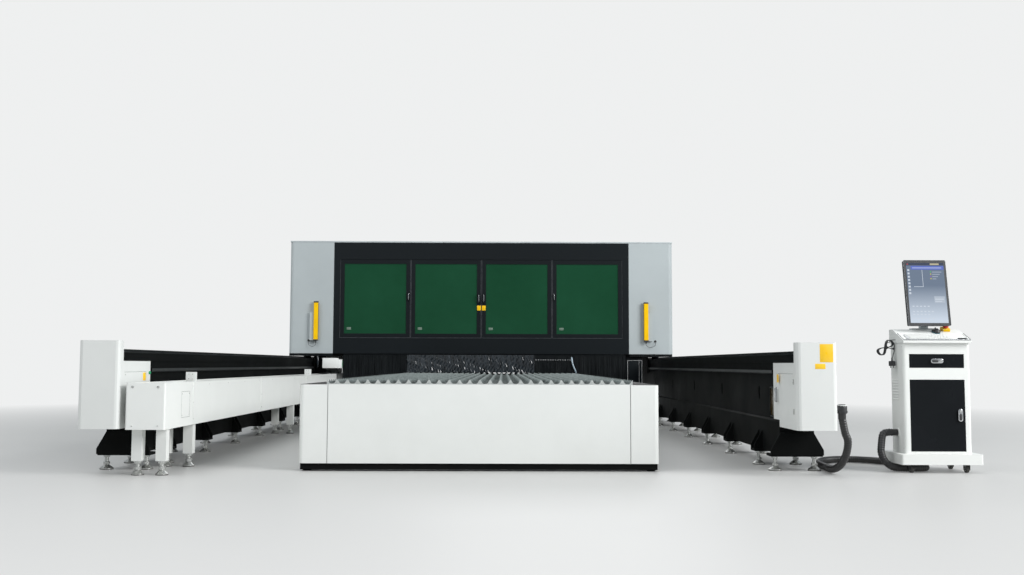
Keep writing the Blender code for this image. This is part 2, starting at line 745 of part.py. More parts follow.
def end_cover(name, beam, outer_side, gland):
    """Folded cover over a beam's end: a tall front part and a lower cabinet behind it."""
    inner, outer = cover_edges(beam, outer_side)
    low, high = sorted((inner, outer))
    foot_room = BEAM_FOOT_WIDTH / 2 + SLIDE_CLEARANCE
    web_room = BEAM_WIDTH / 2 + SLIDE_CLEARANCE

    def tall(mesh):
        outline = rounded_rectangle(
            (low, COVER_FRONT), (high, COVER_FRONT + COVER_TALL_DEPTH), COVER_RADIUS, (True, True, False, False)
        )
        prism(mesh, outline, 2, COVER_BOTTOM, COVER_TOP)

    def cabinet(mesh):
        block(mesh, (low, COVER_FRONT + COVER_RADIUS, COVER_BOTTOM), (high, COVER_REAR, COVER_LOW_TOP))

    def hollow(mesh):
        block(
            mesh,
            (low + COVER_WALL, COVER_FRONT + COVER_TALL_DEPTH, COVER_BOTTOM + COVER_WALL),
            (high - COVER_WALL, COVER_REAR + CUT_OVERRUN, COVER_LOW_TOP - COVER_WALL),
        )

    def beam_way(mesh):
        ledge = LEDGE_HEIGHT + LEDGE_SLOPE + SLIDE_CLEARANCE
        outline = [
            (beam - foot_room, COVER_BOTTOM - CUT_OVERRUN),
            (beam + foot_room, COVER_BOTTOM - CUT_OVERRUN),
            (beam + foot_room, ledge),
            (beam + web_room, ledge),
            (beam + web_room, COVER_LOW_TOP + CUT_OVERRUN),
            (beam - web_room, COVER_LOW_TOP + CUT_OVERRUN),
            (beam - web_room, ledge),
            (beam - foot_room, ledge),
        ]
        prism(mesh, outline, 1, BEAM_FRONT - GAP, COVER_REAR + CUT_OVERRUN)

    def doorway(mesh):
        wall_out = inner - outer_side * CUT_OVERRUN
        wall_in = inner + outer_side * (COVER_WALL + OVERLAP)
        first, second = sorted((wall_out, wall_in))
        block(mesh, (first, SIDE_DOOR_FRONT, SIDE_DOOR_LOW), (second, SIDE_DOOR_REAR, SIDE_DOOR_HIGH))

    def elbow(mesh):
        profile = ((0, 0), (ELBOW_RADIUS, 0), (ELBOW_RADIUS, ELBOW_HEIGHT), (0, ELBOW_HEIGHT))
        turned(mesh, profile, elbow_end())

    def elbow_neck(mesh):
        x, y, z = elbow_end()
        profile = ((0, outer - OVERLAP), (ELBOW_NECK, outer - OVERLAP), (ELBOW_NECK, x), (0, x))
        turned(mesh, profile, (0, y, z + ELBOW_HEIGHT / 2), axis=0)

    cover = make(name, "white_paint", tall, (beam, COVER_FRONT, COVER_BOTTOM))
    combine(cover, cabinet)
    combine(cover, hollow, "DIFFERENCE")
    combine(cover, beam_way, "DIFFERENCE")
    combine(cover, doorway, "DIFFERENCE")
    if gland:
        combine(cover, elbow)
        combine(cover, elbow_neck)
    return cover


def side_door(name, beam, outer_side, handle):
    """Door in the cover's inner wall, hinged on its operator-end edge."""
    inner, _ = cover_edges(beam, outer_side)
    face = inner + outer_side * SIDE_DOOR_SETBACK
    back = face + outer_side * DOOR_THICKNESS
    front_edge = SIDE_DOOR_FRONT + SLIDE_CLEARANCE
    rear_edge = SIDE_DOOR_REAR - SLIDE_CLEARANCE

    def panel(mesh):
        low, high = sorted((face, back))
        block(mesh, (low, front_edge, SIDE_DOOR_LOW + GAP), (high, rear_edge, SIDE_DOOR_HIGH - SLIDE_CLEARANCE))

    def pull(mesh):
        out, root = face - outer_side * SIDE_HANDLE_DEPTH, face + outer_side * OVERLAP
        low, high = sorted((out, root))
        middle = rear_edge - SIDE_HANDLE_EDGE
        half = SIDE_HANDLE_WIDTH / 2
        reach = SIDE_HANDLE_LENGTH / 2
        outline = rounded_rectangle(
            (middle - half, SIDE_HANDLE_HEIGHT - reach), (middle + half, SIDE_HANDLE_HEIGHT + reach), half
        )
        prism(mesh, outline, 0, low, high)

    door = make(name, "white_paint", panel, (face, front_edge, SIDE_DOOR_LOW))
    if handle:
        combine(door, pull)
    return door


# Slat table
def table_frame(name):
    """Welded base: plinth ring on pads, posts, top rails and cross tubes that carry the pallets."""
    outer = TABLE_HALF - PLINTH_INSET
    rail_outer = TABLE_HALF - PANEL_SKIN - FRAME_INSET
    rail_low = FRAME_TOP - FRAME_RAIL_HEIGHT
    front = TABLE_FRONT + PLINTH_INSET
    rear = TABLE_REAR - PLINTH_INSET
    frame_front = TABLE_FRONT + PANEL_SKIN + FRAME_INSET
    frame_rear = TABLE_REAR - PANEL_SKIN - FRAME_INSET
    bay = (frame_rear - frame_front - FRAME_TUBE) / FRAME_BAYS
    plinth_top = PANEL_BOTTOM - GAP

    def plinth(mesh):
        block(mesh, (-outer, front, PLINTH_BOTTOM), (outer, rear, plinth_top))

    def plinth_opening(mesh):
        half = outer - PLINTH_WIDTH
        low = (-half, front + PLINTH_WIDTH, PLINTH_BOTTOM - CUT_OVERRUN)
        block(mesh, low, (half, rear - PLINTH_WIDTH, plinth_top + CUT_OVERRUN))

    def rails(mesh):
        for side in (-1, 1):
            low, high = sorted((side * rail_outer, side * (rail_outer - FRAME_TUBE)))
            block(mesh, (low, frame_front, rail_low), (high, frame_rear, FRAME_TOP - OVERLAP / 2))

    def posts(mesh):
        for index in range(0, FRAME_BAYS + 1, 2):
            start = frame_front + bay * index + OVERLAP
            for side in (-1, 1):
                low, high = sorted((side * (rail_outer - OVERLAP), side * (rail_outer - FRAME_TUBE + 2 * OVERLAP)))
                block(
                    mesh,
                    (low, start, plinth_top - OVERLAP),
                    (high, start + FRAME_TUBE - 2 * OVERLAP, rail_low + 3 * OVERLAP),
                )

    def cross_tubes(mesh):
        half = rail_outer - FRAME_TUBE + OVERLAP
        for index in range(FRAME_BAYS + 1):
            start = frame_front + bay * index
            block(
                mesh,
                (-half, start + OVERLAP / 2, rail_low + OVERLAP),
                (half, start + FRAME_TUBE - OVERLAP / 2, FRAME_TOP),
            )

    def centre_posts(mesh):
        half = CENTRE_POST_WIDTH / 2
        for index in range(2, FRAME_BAYS, 2):
            place = frame_front + bay * index + FRAME_TUBE / 2
            low = (-half, place - half, FLOOR_PAD_HEIGHT / 2)
            block(mesh, low, (half, place + half, rail_low + 2 * OVERLAP))

    def centre_pads(mesh):
        for index in range(2, FRAME_BAYS, 2):
            place = frame_front + bay * index + FRAME_TUBE / 2
            top = FLOOR_PAD_HEIGHT
            radius = CENTRE_PAD_RADIUS
            profile = ((0, 0), (radius, 0), (radius, top), (0, top))
            turned(mesh, profile, (0, place, 0), sides=FOOT_SIDES)

    def pads(mesh):
        middle = outer - PLINTH_WIDTH / 2
        for index in range(0, FRAME_BAYS + 1, 2):
            place = frame_front + bay * index + FRAME_TUBE / 2
            for side in (-1, 1):
                top = PLINTH_BOTTOM + OVERLAP
                profile = ((0, 0), (FLOOR_PAD_RADIUS, 0), (FLOOR_PAD_RADIUS, top), (0, top))
                turned(mesh, profile, (side * middle, place, 0), sides=FOOT_SIDES)

    frame = make(name, "black_paint", plinth, (0, 0, 0))
    combine(frame, plinth_opening, "DIFFERENCE")
    for shape in (posts, rails, cross_tubes, centre_posts, pads, centre_pads):
        combine(frame, shape)
    return frame


def table_side_cover(name, side):
    """Long side cover that wraps round both ends of the table with rounded corners."""
    outer = TABLE_HALF
    inner_wrap = outer - CORNER_WRAP
    skin = PANEL_SKIN
    radius = CORNER_RADIUS
    inner_radius = CORNER_RADIUS - PANEL_SKIN / 2

    def wall(mesh):
        outside = [(inner_wrap, TABLE_FRONT)]
        outside += arc((outer - radius, TABLE_FRONT + radius), radius, 270, 90, ARC_STEPS)
        outside += arc((outer - radius, TABLE_REAR - radius), radius, 0, 90, ARC_STEPS)
        outside += [(inner_wrap, TABLE_REAR)]
        inside = [(inner_wrap, TABLE_REAR - skin)]
        turn = (outer - skin - inner_radius, TABLE_REAR - skin - inner_radius)
        inside += arc(turn, inner_radius, 90, -90, ARC_STEPS)
        turn = (outer - skin - inner_radius, TABLE_FRONT + skin + inner_radius)
        inside += arc(turn, inner_radius, 0, -90, ARC_STEPS)
        inside += [(inner_wrap, TABLE_FRONT + skin)]
        outline = [(side * x, y) for x, y in outside + inside]
        prism(mesh, outline, 2, PANEL_BOTTOM, TABLE_TOP)

    def lip(mesh):
        inset_edge = skin / 2
        low, high = sorted((side * (outer - inset_edge), side * (outer - PANEL_LIP)))
        block(
            mesh,
            (low, TABLE_FRONT + radius, TABLE_TOP - skin),
            (high, TABLE_REAR - radius, TABLE_TOP - OVERLAP / 4),
        )

    cover = make(name, "white_paint", wall, (side * outer, 0, PANEL_BOTTOM))
    return combine(cover, lip)


def table_end_cover(name, outward):
    """Front or rear cover panel between the corner wraps, with a folded top lip."""
    half = TABLE_HALF - CORNER_WRAP - SEAM
    face = outward * TABLE_LENGTH / 2

    def folded(mesh):
        back = face - outward * PANEL_SKIN
        lip_end = face - outward * PANEL_LIP * 0.8
        outline = [
            (face, PANEL_BOTTOM),
            (face, TABLE_TOP),
            (lip_end, TABLE_TOP),
            (lip_end, TABLE_TOP - PANEL_SKIN),
            (back, TABLE_TOP - PANEL_SKIN),
            (back, PANEL_BOTTOM),
        ]
        prism(mesh, outline, 0, -half, half)

    return make(name, "white_paint", folded, (0, face, PANEL_BOTTOM))


def slat_outline():
    """Serrated slat seen along the table: pointed teeth over a straight lower edge."""
    comb_bottom = FRAME_TOP + GAP
    half = TABLE_HALF - COMB_INSET + COMB_WIDTH / 2 - SLAT_SEAT
    low = comb_bottom + SLAT_BOTTOM_RISE
    teeth = max(2, round(2 * half / TOOTH_PITCH))
    pitch = 2 * half / teeth
    outline = [(-half, low), (half, low), (half, SLAT_VALLEY)]
    for index in range(teeth):
        right = half - pitch * index
        outline.append((right - pitch / 2, SLAT_TIP))
        outline.append((right - pitch, SLAT_VALLEY))
    return outline


def slat_pallet(name, index):
    """Removable pallet: two side combs with the serrated slats standing in them."""
    available = TABLE_LENGTH - 2 * PANEL_LIP - 2 * PALLET_END_CLEARANCE
    length = available / PALLET_COUNT
    start = -available / 2 + length * index + PALLET_END_CLEARANCE / 2
    end = start + length - PALLET_END_CLEARANCE
    comb_low = FRAME_TOP + GAP
    comb_middle = TABLE_HALF - COMB_INSET
    count = max(2, int((end - start) / SLAT_PITCH))
    pitch = (end - start) / count

    def combs(mesh):
        for side in (-1, 1):
            middle = side * comb_middle
            block(
                mesh,
                (middle - COMB_WIDTH / 2, start, comb_low),
                (middle + COMB_WIDTH / 2, end, comb_low + COMB_HEIGHT),
            )

    def slats(mesh):
        outline = slat_outline()
        for row in range(count):
            place = start + pitch * (row + 0.5)
            prism(mesh, outline, 1, place - SLAT_THICKNESS / 2, place + SLAT_THICKNESS / 2)

    pallet = make(name, "galvanised", combs, (0, (start + end) / 2, comb_low))
    return combine(pallet, slats)


# Chain trough beside the left beam
def trough_rows(shares):
    """Places along the trough at the given shares of its length."""
    return [TROUGH_START + (TROUGH_END - TROUGH_START) * share for share in shares]


def leg_pair(mesh, row, top):
    for low in (TROUGH_OUTER + LEG_INSET, TROUGH_INNER - LEG_INSET - LEG_WIDTH):
        block(mesh, (low, row - LEG_WIDTH / 2, LEG_BOTTOM), (low + LEG_WIDTH, row + LEG_WIDTH / 2, top))


def leg_feet(mesh, row):
    for low in (TROUGH_OUTER + LEG_INSET, TROUGH_INNER - LEG_INSET - LEG_WIDTH):
        levelling_foot(mesh, low + LEG_WIDTH / 2, row, LEG_BOTTOM + OVERLAP, LEG_FOOT_RADIUS, LEG_STUD_RADIUS)


def chain_trough(name):
    def channel(mesh):
        outer, inner = TROUGH_OUTER, TROUGH_INNER
        wall = TROUGH_WALL
        outline = [
            (outer, TROUGH_BOTTOM),
            (inner, TROUGH_BOTTOM),
            (inner, TROUGH_TOP),
            (inner - TROUGH_LIP, TROUGH_TOP),
            (inner - TROUGH_LIP, TROUGH_TOP - wall),
            (inner - wall, TROUGH_TOP - wall),
            (inner - wall, TROUGH_FLOOR),
            (outer + wall, TROUGH_FLOOR),
            (outer + wall, TROUGH_TOP - wall),
            (outer + TROUGH_LIP, TROUGH_TOP - wall),
            (outer + TROUGH_LIP, TROUGH_TOP),
            (outer, TROUGH_TOP),
        ]
        prism(mesh, outline, 1, TROUGH_START, TROUGH_END)

    def legs(mesh):
        for row in trough_rows(LEG_ROW_SHARES):
            leg_pair(mesh, row, TROUGH_BOTTOM + TROUGH_WALL / 2)

    def feet(mesh):
        for row in trough_rows(LEG_ROW_SHARES):
            leg_feet(mesh, row)

    def guide_brackets(mesh):
        middle = TROUGH_INNER - GUIDE_BRACKET_INSET
        for row in trough_rows(GUIDE_BRACKET_ROW_SHARES):
            block(
                mesh,
                (middle - GUIDE_BRACKET_WIDTH / 2, row, TROUGH_TOP - TROUGH_WALL / 2),
                (middle + GUIDE_BRACKET_WIDTH / 2 + TROUGH_LIP, row + GUIDE_BRACKET_DEPTH, GUIDE_BRACKET_TOP),
            )

    trough = make(name, "white_paint", channel, (CHAIN_CENTRE, TROUGH_START, TROUGH_BOTTOM))
    for shape in (legs, feet, guide_brackets):
        combine(trough, shape)
    return trough


def trough_end_box(name):
    rear = TROUGH_START - GAP

    def casing(mesh):
        outline = rounded_rectangle(
            (TROUGH_OUTER, END_BOX_FRONT), (TROUGH_INNER, rear), END_BOX_RADIUS, (True, True, False, False)
        )
        prism(mesh, outline, 2, TROUGH_BOTTOM, TROUGH_TOP)

    def inside(mesh):
        block(
            mesh,
            (TROUGH_OUTER + TROUGH_WALL, END_BOX_FRONT + TROUGH_WALL, TROUGH_FLOOR),
            (TROUGH_INNER - TROUGH_WALL, rear + CUT_OVERRUN, TROUGH_TOP - TROUGH_WALL),
        )

    box = make(name, "white_paint", casing, (CHAIN_CENTRE, END_BOX_FRONT, TROUGH_BOTTOM))
    combine(box, inside, "DIFFERENCE")
    row = END_BOX_FRONT + END_BOX_LEG_SETBACK
    combine(box, lambda mesh: leg_pair(mesh, row, TROUGH_BOTTOM + TROUGH_WALL / 2))
    return combine(box, lambda mesh: leg_feet(mesh, row))


def chain_path(distance, straight):
    """Point and outward normal on the chain's centre line: lower run, bend, upper run."""
    low = TROUGH_FLOOR + GAP + CHAIN_THICKNESS / 2
    bend = math.pi * CHAIN_BEND_RADIUS
    if distance <= straight:
        return (CHAIN_FIXED_END - distance, low), (0, -1)
    if distance <= straight + bend:
        angle = (distance - straight) / CHAIN_BEND_RADIUS
        outward = (-math.sin(angle), -math.cos(angle))
        centre = (CHAIN_BEND_PLACE, low + CHAIN_BEND_RADIUS)
        return (
            centre[0] + CHAIN_BEND_RADIUS * outward[0],
            centre[1] + CHAIN_BEND_RADIUS * outward[1],
        ), outward
    run = distance - straight - bend
    return (CHAIN_BEND_PLACE + run, low + 2 * CHAIN_BEND_RADIUS), (0, 1)


def energy_chain(name):
    """Link chain with its lower run, bend and upper run; each link steps over the next like a shingle."""
    straight = CHAIN_FIXED_END - CHAIN_BEND_PLACE
    upper = ARM_PLACE + ARM_LENGTH - CHAIN_BEND_PLACE
    total = straight + math.pi * CHAIN_BEND_RADIUS + upper
    links = max(4, round(total / CHAIN_LINK))
    link = total / links

    def edge(side):
        points = []
        for index in range(links):
            for share, drop in ((0.03, 0), (0.97, CHAIN_STEP)):
                place, outward = chain_path(link * (index + share), straight)
                reach = side * (CHAIN_THICKNESS / 2 - drop)
                points.append((place[0] + outward[0] * reach, place[1] + outward[1] * reach))
        return points

    def body(mesh):
        outline = edge(1) + edge(-1)[::-1]
        prism(mesh, outline, 0, CHAIN_CENTRE - CHAIN_WIDTH / 2, CHAIN_CENTRE + CHAIN_WIDTH / 2)

    return make(name, "black_plastic", body, (CHAIN_CENTRE, CHAIN_FIXED_END, TROUGH_FLOOR))


# Gantry structure
def end_carriage(name, beam, inner_side, chain_side):
    """Plate on two rail blocks with a pedestal for the cross beam and a guard beside the rack."""
    front = CABIN_FRONT + CARRIAGE_INSET
    rear = CABIN_REAR - CARRIAGE_INSET
    outer_edge = beam - inner_side * CARRIAGE_HALF_WIDTH
    inner_edge = beam + inner_side * (CARRIAGE_HALF_WIDTH + (CHAIN_SHELF if chain_side else 0))
    block_rows = (front + BLOCK_INSET, rear - BLOCK_INSET)
    half = BLOCK_WIDTH / 2
    bore = RAIL_WIDTH / 2 + GAP

    def plate(mesh):
        low, high = sorted((outer_edge, inner_edge))
        block(mesh, (low, front, CARRIAGE_LOW), (high, rear, CARRIAGE_TOP))

    def blocks(mesh):
        outline = [
            (beam - half, RAIL_BASE + BLOCK_SKIRT),
            (beam - bore, RAIL_BASE + BLOCK_SKIRT),
            (beam - bore, RAIL_TOP + GAP),
            (beam + bore, RAIL_TOP + GAP),
            (beam + bore, RAIL_BASE + BLOCK_SKIRT),
            (beam + half, RAIL_BASE + BLOCK_SKIRT),
            (beam + half, CARRIAGE_LOW + OVERLAP),
            (beam - half, CARRIAGE_LOW + OVERLAP),
        ]
        for row in block_rows:
            prism(mesh, outline, 1, row - BLOCK_LENGTH / 2, row + BLOCK_LENGTH / 2)

    def pedestal(mesh):
        half_width = PEDESTAL_WIDTH / 2
        half_depth = GANTRY_BEAM_DEPTH / 2
        outline = [
            (GANTRY_BEAM_Y - half_depth - half_width, CARRIAGE_TOP - OVERLAP),
            (GANTRY_BEAM_Y + half_depth + half_width, CARRIAGE_TOP - OVERLAP),
            (GANTRY_BEAM_Y + half_depth, PEDESTAL_TOP),
            (GANTRY_BEAM_Y - half_depth, PEDESTAL_TOP),
        ]
        prism(mesh, outline, 0, beam - half_width, beam + half_width)

    def guard(mesh):
        near = beam + inner_side * (CAP_WIDTH / 2 + GUARD_CLEARANCE)
        low, high = sorted((near, near + inner_side * GUARD_THICKNESS))
        radius = GUARD_CLEARANCE + GUARD_THICKNESS
        outline = rounded_rectangle(
            (front, GUARD_BOTTOM), (rear, CARRIAGE_LOW + OVERLAP), radius, (True, True, False, False)
        )
        prism(mesh, outline, 0, low, high)

    carriage = make(name, "black_paint", plate, (beam, CABIN_FRONT, CARRIAGE_LOW))
    for shape in (blocks, pedestal, guard):
        combine(carriage, shape)
    return carriage


def gantry_beam(name):
    """Cross beam with two guide ridges on the face towards the operator."""
    front = GANTRY_BEAM_Y - GANTRY_BEAM_DEPTH / 2
    rear = GANTRY_BEAM_Y + GANTRY_BEAM_DEPTH / 2
    low = PEDESTAL_TOP + GAP
    high = low + GANTRY_BEAM_HEIGHT
    cut = GANTRY_BEAM_CHAMFER

    def section(mesh):
        outline = [(front, low + cut), (front + cut, low), (rear - cut, low), (rear, low + cut)]
        outline += [(rear, high - cut), (rear - cut, high), (front + cut, high), (front, high - cut)]
        for ridge in (RIDGE_HIGH, RIDGE_LOW):
            top = low + ridge + RIDGE_HEIGHT
            outline += [(front, top), (front - RIDGE_PROUD, top)]
            outline += [(front - RIDGE_PROUD, low + ridge), (front, low + ridge)]
        prism(mesh, outline, 0, MACHINE_CENTRE - GANTRY_BEAM_HALF, MACHINE_CENTRE + GANTRY_BEAM_HALF)

    return make(name, "grey_paint", section, (MACHINE_CENTRE, GANTRY_BEAM_Y, low))


def x_carriage(name):
    """Plate that rides on the cross beam's ridges, with the vertical drive motor on top."""
    back = GANTRY_BEAM_Y - GANTRY_BEAM_DEPTH / 2 - RIDGE_PROUD - GAP
    face = back - HEAD_PLATE_THICKNESS
    half = HEAD_PLATE_WIDTH / 2

    def plate(mesh):
        outline = rounded_rectangle((-half, HEAD_PLATE_LOW), (half, HEAD_PLATE_HIGH), HEAD_CHAMFER)
        prism(mesh, outline, 1, face, back)

    def motor(mesh):
        top = MOTOR_HEIGHT
        profile = ((0, -OVERLAP), (MOTOR_RADIUS, -OVERLAP), (MOTOR_RADIUS, top), (0, top))
        turned(mesh, profile, (0, face + MOTOR_RADIUS + MOTOR_SETBACK, HEAD_PLATE_HIGH))

    carriage = make(name, "grey_paint", plate, (0, back, HEAD_PLATE_LOW))
    return combine(carriage, motor)


def cutting_head(name):
    """Laser head that slides up and down on the carriage: body, collimator and nozzle."""
    back = GANTRY_BEAM_Y - GANTRY_BEAM_DEPTH / 2 - RIDGE_PROUD - HEAD_PLATE_THICKNESS - 2 * GAP
    face = back - HEAD_DEPTH
    middle = (face + back) / 2
    half = HEAD_WIDTH / 2

    def body(mesh):
        outline = rounded_rectangle((-half, face), (half, back), HEAD_CHAMFER, (True, True, False, False))
        prism(mesh, outline, 2, HEAD_LOW, HEAD_HIGH)

    def optics(mesh):
        profile = (
            (0, NOZZLE_TIP),
            (NOZZLE_TIP_RADIUS, NOZZLE_TIP),
            (NOZZLE_COLLAR * 0.5, NOZZLE_SHOULDER),
            (NOZZLE_COLLAR, NOZZLE_SHOULDER + OVERLAP),
            (NOZZLE_COLLAR, HEAD_LOW + OVERLAP),
            (0, HEAD_LOW + OVERLAP),
        )
        turned(mesh, profile, (0, middle, 0))

    def collimator(mesh):
        top = HEAD_HIGH + COLLIMATOR_HEIGHT
        profile = (
            (0, HEAD_HIGH - OVERLAP),
            (COLLIMATOR_RADIUS, HEAD_HIGH - OVERLAP),
            (COLLIMATOR_RADIUS, top - COLLIMATOR_RADIUS),
            (COLLIMATOR_RADIUS / 2, top),
            (0, top),
        )
        turned(mesh, profile, (0, middle, 0))

    head = make(name, "black_plastic", body, (0, back, HEAD_LOW))
    combine(head, optics)
    return combine(head, collimator)


def chain_arm(name):
    """White bracket box under the left carriage that takes hold of the chain's moving end."""
    low = CHAIN_CENTRE - ARM_WIDTH / 2
    high = CHAIN_CENTRE + ARM_WIDTH / 2
    top = CARRIAGE_LOW - GAP
    notch = TROUGH_INNER - GUIDE_BRACKET_INSET - GUIDE_BRACKET_WIDTH / 2 - ARM_CLEARANCE

    def box(mesh):
        outline = [
            (low, ARM_BOTTOM),
            (notch, ARM_BOTTOM),
            (notch, GUIDE_BRACKET_TOP + ARM_CLEARANCE),
            (high, GUIDE_BRACKET_TOP + ARM_CLEARANCE),
            (high, top - ARM_STEP),
            (high - ARM_STEP, top - ARM_STEP),
            (high - ARM_STEP, top),
            (low, top),
        ]
        prism(mesh, outline, 1, ARM_PLACE, ARM_PLACE + ARM_LENGTH)

    def tongue(mesh):
        block(
            mesh,
            (notch - OVERLAP - ARM_TONGUE_WIDTH, ARM_PLACE + OVERLAP, CHAIN_TOP + GAP),
            (notch - OVERLAP, ARM_PLACE + ARM_LENGTH - OVERLAP, ARM_BOTTOM + OVERLAP),
        )

    arm = make(name, "white_paint", box, (CHAIN_CENTRE, ARM_PLACE, ARM_BOTTOM))
    return combine(arm, tongue)


# Cabin
def tower(name, side):
    """Sheet-metal corner tower, open towards the middle, with two floor plates and a sensor bracket."""
    outer = CABIN_LEFT if side < 0 else CABIN_RIGHT
    inner = outer - side * TOWER_WIDTH
    radius = TOWER_RADIUS
    wall = TOWER_WALL
    inner_radius = TOWER_RADIUS - TOWER_WALL

    def shell(mesh):
        outside = [(0, CABIN_FRONT)]
        outside += arc((TOWER_WIDTH - radius, CABIN_FRONT + radius), radius, 270, 90, ARC_STEPS)
        outside += arc((TOWER_WIDTH - radius, CABIN_REAR - radius), radius, 0, 90, ARC_STEPS)
        outside += [(0, CABIN_REAR)]
        turn = TOWER_WIDTH - wall - inner_radius
        inside = [(0, CABIN_REAR - wall)]
        inside += arc((turn, CABIN_REAR - radius), inner_radius, 90, -90, ARC_STEPS)
        inside += arc((turn, CABIN_FRONT + radius), inner_radius, 0, -90, ARC_STEPS)
        inside += [(0, CABIN_FRONT + wall)]
        outline = [(inner + side * x, y) for x, y in outside + inside]
        prism(mesh, outline, 2, CABIN_BOTTOM, ROOF_BOTTOM - GAP)

    def floors(mesh):
        low, high = sorted((inner, outer - side * wall / 2))
        front = CABIN_FRONT + wall / 2
        rear = CABIN_REAR - wall / 2
        for start, end in ((front, front + TOWER_FLOOR_DEPTH), (rear - TOWER_FLOOR_DEPTH, rear)):
            outline = rounded_rectangle((low, start), (high, end), inner_radius)
            prism(mesh, outline, 2, CABIN_BOTTOM, CABIN_BOTTOM + TOWER_FLOOR)

    def bracket(mesh):
        near = MACHINE_CENTRE + side * (BAR_OFFSET + BAR_WIDTH + GAP)
        low, high = sorted((near, near + side * BRACKET_WIDTH))
        block(
            mesh,
            (low, CABIN_FRONT - BAR_STAND_OFF - BAR_DEPTH / 2, BRACKET_BOTTOM),
            (high, CABIN_FRONT + wall / 2, BRACKET_TOP),
        )

    body = make(name, "grey_paint", shell, (outer, CABIN_FRONT, CABIN_BOTTOM))
    combine(body, floors)
    return combine(body, bracket)


def light_curtain(name, side):
    """Yellow light-curtain bar beside its bracket."""
    near = MACHINE_CENTRE + side * BAR_OFFSET
    low, high = sorted((near, near + side * BAR_WIDTH))
    rear = CABIN_FRONT - BAR_STAND_OFF

    def bar(mesh):
        outline = rounded_rectangle((low, rear - BAR_DEPTH), (high, rear), BAR_RADIUS)
        prism(mesh, outline, 2, BAR_BOTTOM, BAR_TOP)

    return make(name, "yellow_paint", bar, (near, rear, BAR_BOTTOM))


def front_frame(name):
    """Black front with a recess for the folding leaves and a smaller opening behind them."""
    outer = (FRAME_LEFT, CABIN_BOTTOM, FRAME_RIGHT, ROOF_BOTTOM - GAP)
    opening = (OPENING_LEFT, OPENING_LOW, OPENING_RIGHT, OPENING_HIGH)
    recess = CABIN_FRONT + FRAME_RECESS
    back = CABIN_FRONT + FRAME_DEPTH
    rear_opening = inset(opening, REAR_LIP)

    def body(mesh):
        loops = (
            (outer, CABIN_FRONT),
            (opening, CABIN_FRONT),
            (opening, recess),
            (rear_opening, recess),
            (rear_opening, back),
            (outer, back),
        )
        rectangle_body(mesh, loops)

    return make(name, "frame_black", body, (MACHINE_CENTRE, CABIN_FRONT, CABIN_BOTTOM))


def leaf_edges(index):
    """Left and right edges of one of the four leaves."""
    left = OPENING_LEFT + LEAF_WIDTH * index + SLIDE_CLEARANCE / 2
    return left, left + LEAF_WIDTH - SLIDE_CLEARANCE


def fold_side(index):
    """+1 for the pair hinged on the left jamb, -1 for the pair hinged on the right."""
    return 1 if index < 2 else -1


def is_jamb_leaf(index):
    return index in (0, 3)


def leaf_hinge(index):
    """Pin of a leaf: on the jamb at its front face, or behind the fold between the two leaves."""
    side = fold_side(index)
    if is_jamb_leaf(index):
        jamb = OPENING_LEFT if side > 0 else OPENING_RIGHT
        return jamb, LEAF_FRONT
    fold = OPENING_LEFT + LEAF_WIDTH if side > 0 else OPENING_RIGHT - LEAF_WIDTH
    return fold, LEAF_BACK + LEAF_FOLD_OFFSET


def door_leaf(index):
    """One framed leaf with a rebate for its pane and the pull that it carries."""
    left, right = leaf_edges(index)
    low = OPENING_LOW + GAP
    high = OPENING_HIGH - SLIDE_CLEARANCE
    outer = (left, low, right, high)
    window = inset(outer, LEAF_STILE)
    rebate = inset(window, -LEAF_REBATE)
    lip = LEAF_FRONT + LEAF_LIP
    side = fold_side(index)
    fold = leaf_hinge(1 if side > 0 else 2)

    def ring(mesh):
        loops = (
            (outer, LEAF_FRONT),
            (window, LEAF_FRONT),
            (window, lip),
            (rebate, lip),
            (rebate, LEAF_BACK),
            (outer, LEAF_BACK),
        )
        rectangle_body(mesh, loops)

    def pull_shape(middle, height, length, bar, reach):
        outside = LEAF_FRONT - reach
        root = LEAF_FRONT + OVERLAP
        top = height + length / 2
        bottom = height - length / 2
        outline = [
            (root, bottom),
            (outside, bottom),
            (outside, top),
            (root, top),
            (root, top - bar),
            (outside + bar, top - bar),
            (outside + bar, bottom + bar),
            (root, bottom + bar),
        ]
        return lambda mesh: prism(mesh, outline, 0, middle - bar / 2, middle + bar / 2)

    def barrels(mesh):
        for share in BARREL_SHARES:
            bottom = low + (high - low) * share - BARREL_LENGTH / 2
            profile = ((0, 0), (BARREL_RADIUS, 0), (BARREL_RADIUS, BARREL_LENGTH), (0, BARREL_LENGTH))
            turned(mesh, profile, (fold[0], fold[1], bottom), sides=FOOT_SIDES)

    def tabs(mesh):
        for share in BARREL_SHARES:
            bottom = low + (high - low) * share - BARREL_LENGTH / 2 + OVERLAP
            near, far = sorted((fold[0], fold[0] - side * BARREL_TAB))
            block(
                mesh,
                (near, LEAF_BACK - BARREL_TAB_THICKNESS / 2, bottom),
                (far, LEAF_BACK + BARREL_TAB_THICKNESS, bottom + BARREL_LENGTH - 2 * OVERLAP),
            )

    hinge_x, hinge_y = leaf_hinge(index)
    leaf = make(f"door_leaf_{index + 1}", "frame_black", ring, (hinge_x, hinge_y, low))
    if is_jamb_leaf(index):
        middle = right - GRIP_EDGE if side > 0 else left + GRIP_EDGE
        combine(leaf, pull_shape(middle, GRIP_HEIGHT, GRIP_LENGTH, GRIP_BAR, GRIP_REACH))
        combine(leaf, tabs)
        combine(leaf, barrels)
    else:
        middle = right - PULL_EDGE if side > 0 else left + PULL_EDGE
        combine(leaf, pull_shape(middle, PULL_HEIGHT, PULL_LENGTH, PULL_BAR, PULL_REACH))
    return leaf


